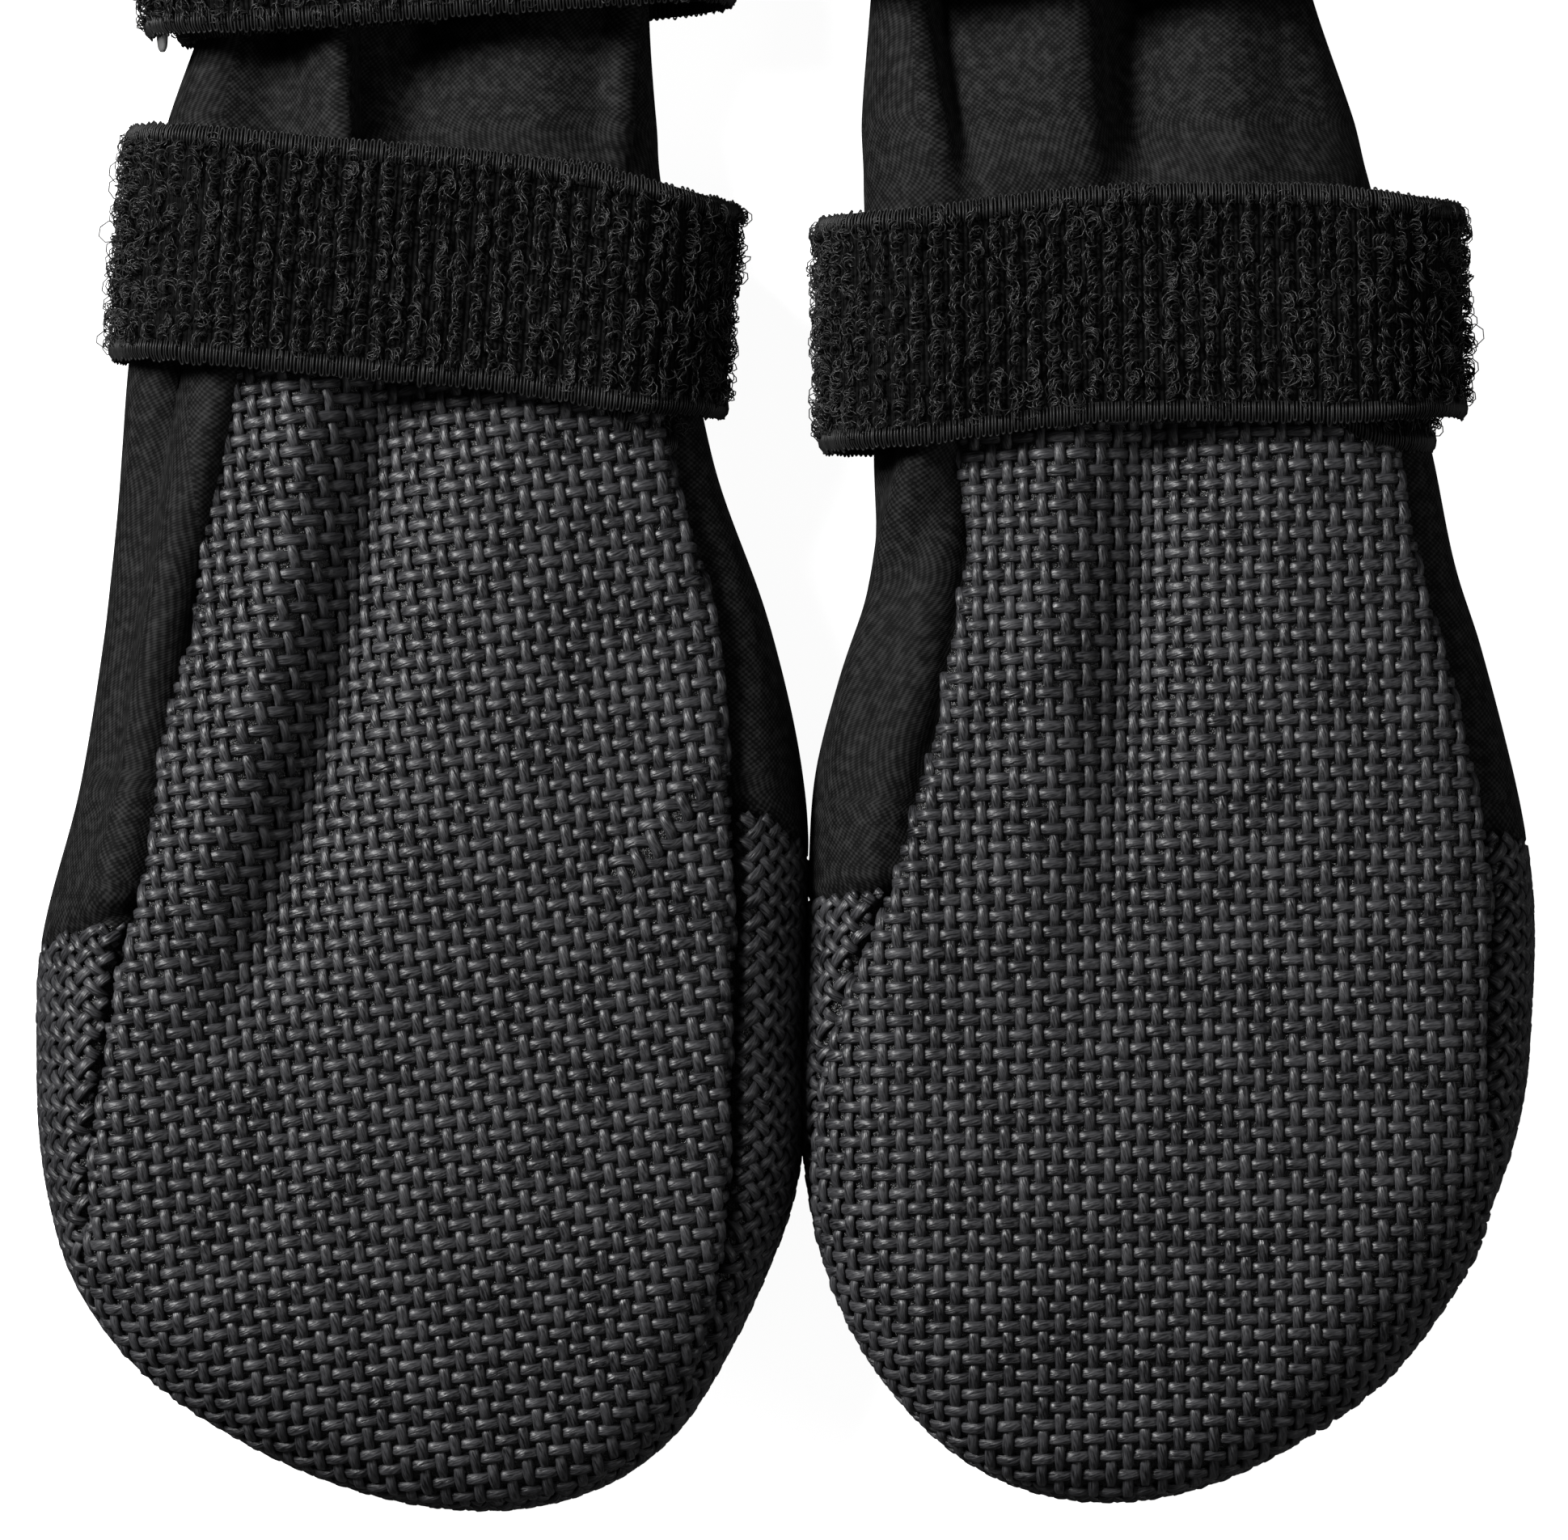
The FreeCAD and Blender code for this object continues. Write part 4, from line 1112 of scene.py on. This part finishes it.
def pile(strap, path, material):
    """Loop pile: columns of curled filaments that lean over, with strays here and there."""
    columns = np.arange(PILE_COLUMN / 2, strap.length(path) - 0.3, PILE_COLUMN)
    rows = np.arange(-PILE_HALF + PILE_ROW / 2, PILE_HALF, PILE_ROW)
    per_cell = 9 if path == "free" else 6
    s, across, _ = np.meshgrid(columns, rows, np.arange(per_cell), indexing="ij")
    cell = s.shape[:2] + (1,)

    def uneven(middle, by_cell, by_strand):
        """One value for each strand: strands of a cell differ less than cells do."""
        return (middle + random.normal(0, by_cell, cell) + random.normal(0, by_strand, s.shape)).ravel()

    facing = uneven(math.pi / 2, 0.60, 0.55)
    lean = uneven(0.75, 0.25, 0.30) * np.where((random.random(cell) < 0.75) + 0 * s, 1, -1).ravel()
    radius = uneven(0.58, 0.07, 0.12)
    s, across = s.ravel() + uneven(0, 0.12, 0.26), across.ravel() + uneven(0, 0.20, 0.42)
    s = np.clip(s, 0.1, strap.length(path) - 0.1)
    count = len(s)
    radius = radius * np.where(random.random(count) < 0.04, 1.5, 1.0)
    turn = np.linspace(-0.45 * math.pi, 1.15 * math.pi, 7)[None]
    lean, facing, radius = lean[:, None], facing[:, None], radius[:, None]
    sideways = radius * np.cos(turn)
    upward = radius * (1 + np.sin(turn))
    tilt, rise = (upward - radius) * np.sin(lean), upward * np.cos(lean)
    along_by = sideways * np.cos(facing) - tilt * np.sin(facing)
    across_by = sideways * np.sin(facing) + tilt * np.cos(facing)
    points = bend_to_path(strap, path, s, across, along_by, across_by, rise - 0.2)
    ones = np.ones(turn.shape)
    normals = bend_to_path(strap, path, s, None, -np.sin(facing) * np.cos(lean) * ones,
                           np.cos(facing) * np.cos(lean) * ones, -np.sin(lean) * ones)
    thick = np.full(points.shape[:2], 0.075)
    maker = MeshMaker()
    add_tubes(maker, strap.set_in_place(points, path), normals, thick, thick,
              np.ones(points.shape[:2], bool), circle(3), 0.4, np.arange(count) * 0.9)
    return maker.build(f"{strap.side}_{strap.kind}_{path}_pile", material)


def selvedges(strap, path, material):
    """The knitted edges: a row of narrow U-shaped loops along each edge."""
    half_wide = 0.20
    s = np.arange(RIB_PITCH / 2, strap.length(path), RIB_PITCH)
    maker = MeshMaker()
    reach = TAPE_WIDTH / 2 - PILE_HALF + 0.5
    turn = np.linspace(-1, 1, 11)[None]
    bowed = np.sign(turn) * np.minimum(np.abs(turn) * 2.2, 1) ** 0.7
    for edge in (-1, 1):
        wobble = random.normal(0, 0.05, (len(s), 1))
        outward = reach * (1 + wobble) * (1 - np.abs(turn) ** 2.2)
        height = 0.22 + 0.10 * np.cos(turn * 9) - 0.55 * (outward / reach) ** 4
        across_by = edge * (PILE_HALF - 0.4 + outward)
        points = bend_to_path(strap, path, s, 0 * s, half_wide * bowed + wobble, across_by, height)
        ones = np.ones(across_by.shape)
        normals = bend_to_path(strap, path, s, None, 0 * ones, 0.25 * edge * ones, ones)
        size = 0.12 * ones
        add_tubes(maker, strap.set_in_place(points, path), unit(normals), size, size,
                  np.ones(size.shape, bool), circle(4), 0.4, s)
    return maker.build(f"{strap.side}_{strap.kind}_{path}_selvedges", material)


def hook_patch(strap, material):
    """The moulded hooks under the free end: a thin plate with rows of small hooks on its inside."""
    half = TAPE_WIDTH / 2 - 1.8
    length, spacing = 20.0, 1.25
    base = strap.outer - TAPE_THICK / 2 - 0.35
    first = strap.right - length
    maker = MeshMaker()
    x = np.linspace(first, strap.right, 24)
    corner = 2.0
    from_end = np.minimum(x - first, strap.right - x)
    rounding = np.clip(1 - from_end / corner, 0, 1)
    side = half - corner * (1 - np.sqrt(1 - rounding ** 2))
    section = np.array([(-1, 0.0), (-0.98, 0.22), (0.98, 0.22), (1, 0.0), (0.98, -0.12), (-0.98, -0.12)])
    rings = np.stack([
        np.stack([np.full(len(section), at), wide * section[:, 0], base + section[:, 1]], -1)
        for at, wide in zip(x, side)
    ])
    add_bar(maker, strap.set_in_place(rings, "free"), rings[..., :2])
    hook_x, hook_y = np.meshgrid(np.arange(first + 1.4, strap.right - 0.8, spacing),
                                 np.arange(-half + 1.4, half - 0.8, spacing), indexing="ij")
    hook_x, hook_y = hook_x.ravel(), hook_y.ravel()
    share = np.linspace(0, 1, 7)
    bend = np.where(np.arange(len(hook_x)) % 2 == 0, 1, -1)[:, None]
    points = np.stack([
        hook_x[:, None] + bend * 0.34 * (1 - np.cos(math.pi * share))[None] / 2 * 1.2,
        hook_y[:, None] + 0 * share[None],
        base - 0.1 - 0.62 * np.sin(math.pi * 0.62 * share)[None] + 0 * bend,
    ], -1)
    normals = np.broadcast_to(np.array([0.0, 1.0, 0.0]), points.shape)
    thick = np.full(points.shape[:2], 0.10)
    add_tubes(maker, strap.set_in_place(points, "free"), normals, thick, thick,
              np.ones(points.shape[:2], bool), circle(5), 0.15, hook_x)
    return maker.build(f"{strap.side}_{strap.kind}_hook_patch", material)


def clear_corner(strap, material):
    """A corner of the hook patch that was cut too wide and sticks out past the tape's edge."""
    end = strap.length("free")
    s = np.linspace(end - 5.4, end - 2.4, 12)
    bow = 1 - np.linspace(-1, 1, 12) ** 4
    inner, outer = TAPE_WIDTH / 2 - 2.0, TAPE_WIDTH / 2 + 0.4 + 1.5 * bow
    across = np.stack([0 * s + inner, outer - 0.3, outer, outer, outer - 0.3, 0 * s + inner], 1)
    height = np.array([-0.9, -0.9, -1.05, -1.35, -1.5, -1.5])
    rings = np.stack([strap_space(strap, "free", np.full(len(row), at), row, height)
                      for at, row in zip(s, across)])
    flat = np.stack([np.repeat(s[:, None], across.shape[1], 1), across], -1)
    maker = MeshMaker()
    add_bar(maker, strap.set_in_place(rings, "free"), flat)
    return maker.build(f"{strap.side}_{strap.kind}_hook_corner", material)


def hang_strap(strap, tape_weave, loops, ribs, hooks):
    """Build a strap, and tie its held pieces and its moulded hooks to the bodies that carry them."""
    side, kind = strap.side, strap.kind
    carrier = f"{side}_foot" if kind == "ankle" else f"{side}_leg"
    free_body = f"{side}_{kind}_strap_end"
    parts = {path: [tape(strap, path, tape_weave), pile(strap, path, loops), selvedges(strap, path, ribs)]
             for path in ("held", "free")}
    for piece in parts["held"]:
        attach(piece, carrier)
    for piece in parts["free"]:
        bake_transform(piece)
    patch = hook_patch(strap, hooks)
    moulded = [patch]
    if (side, kind) == ("left", "cuff"):
        moulded.append(clear_corner(strap, hooks))
    for piece in moulded:
        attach(piece, free_body)
    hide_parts(f"{side}_{kind}_strap_band")
    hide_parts(f"{side}_{kind}_strap_end")
    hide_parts(f"{side}_{kind}_strap_hook_patch")


# ---------------------------------------------------------------- the pair

def build_boot(side, materials):
    """Every visible piece of one boot."""
    boot = Boot(side)
    coarse = sole_panel(boot, materials["yarn"], materials["coating"])
    coarse += toe_cap(boot, materials["yarn"], materials["coating"])
    for piece in coarse:
        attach(piece, f"{side}_foot")
    tube, length = softshell_tube(boot, materials["softshell"])
    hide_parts(f"{side}_foot_upper", f"{side}_leg_back_panel", f"{side}_leg_front_panel")
    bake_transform(tube)
    hem, stitches = hem_ring(boot, materials["softshell"], materials["thread"])
    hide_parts(f"{side}_leg_hem")
    for piece in (hem, stitches):
        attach(piece, f"{side}_leg")
    for kind in ("ankle", "cuff"):
        hang_strap(Strap(side, kind), materials["tape"], materials["loops"], materials["ribs"],
                   materials["hooks"])


add_camera()
add_floor()
add_light()
all_materials = {
    "yarn": yarn_material(),
    "coating": coating_material(),
    "softshell": softshell_material(),
    "thread": filament_material("sewing_thread", (0.03, 0.03, 0.03), 0.5),
    "tape": tape_material(),
    "loops": filament_material("pile_filament", (0.050, 0.050, 0.050), 0.36),
    "ribs": filament_material("selvedge_thread", (0.030, 0.030, 0.030), 0.5),
    "hooks": hook_material(),
}
for boot_side in SIDES:
    build_boot(boot_side, all_materials)
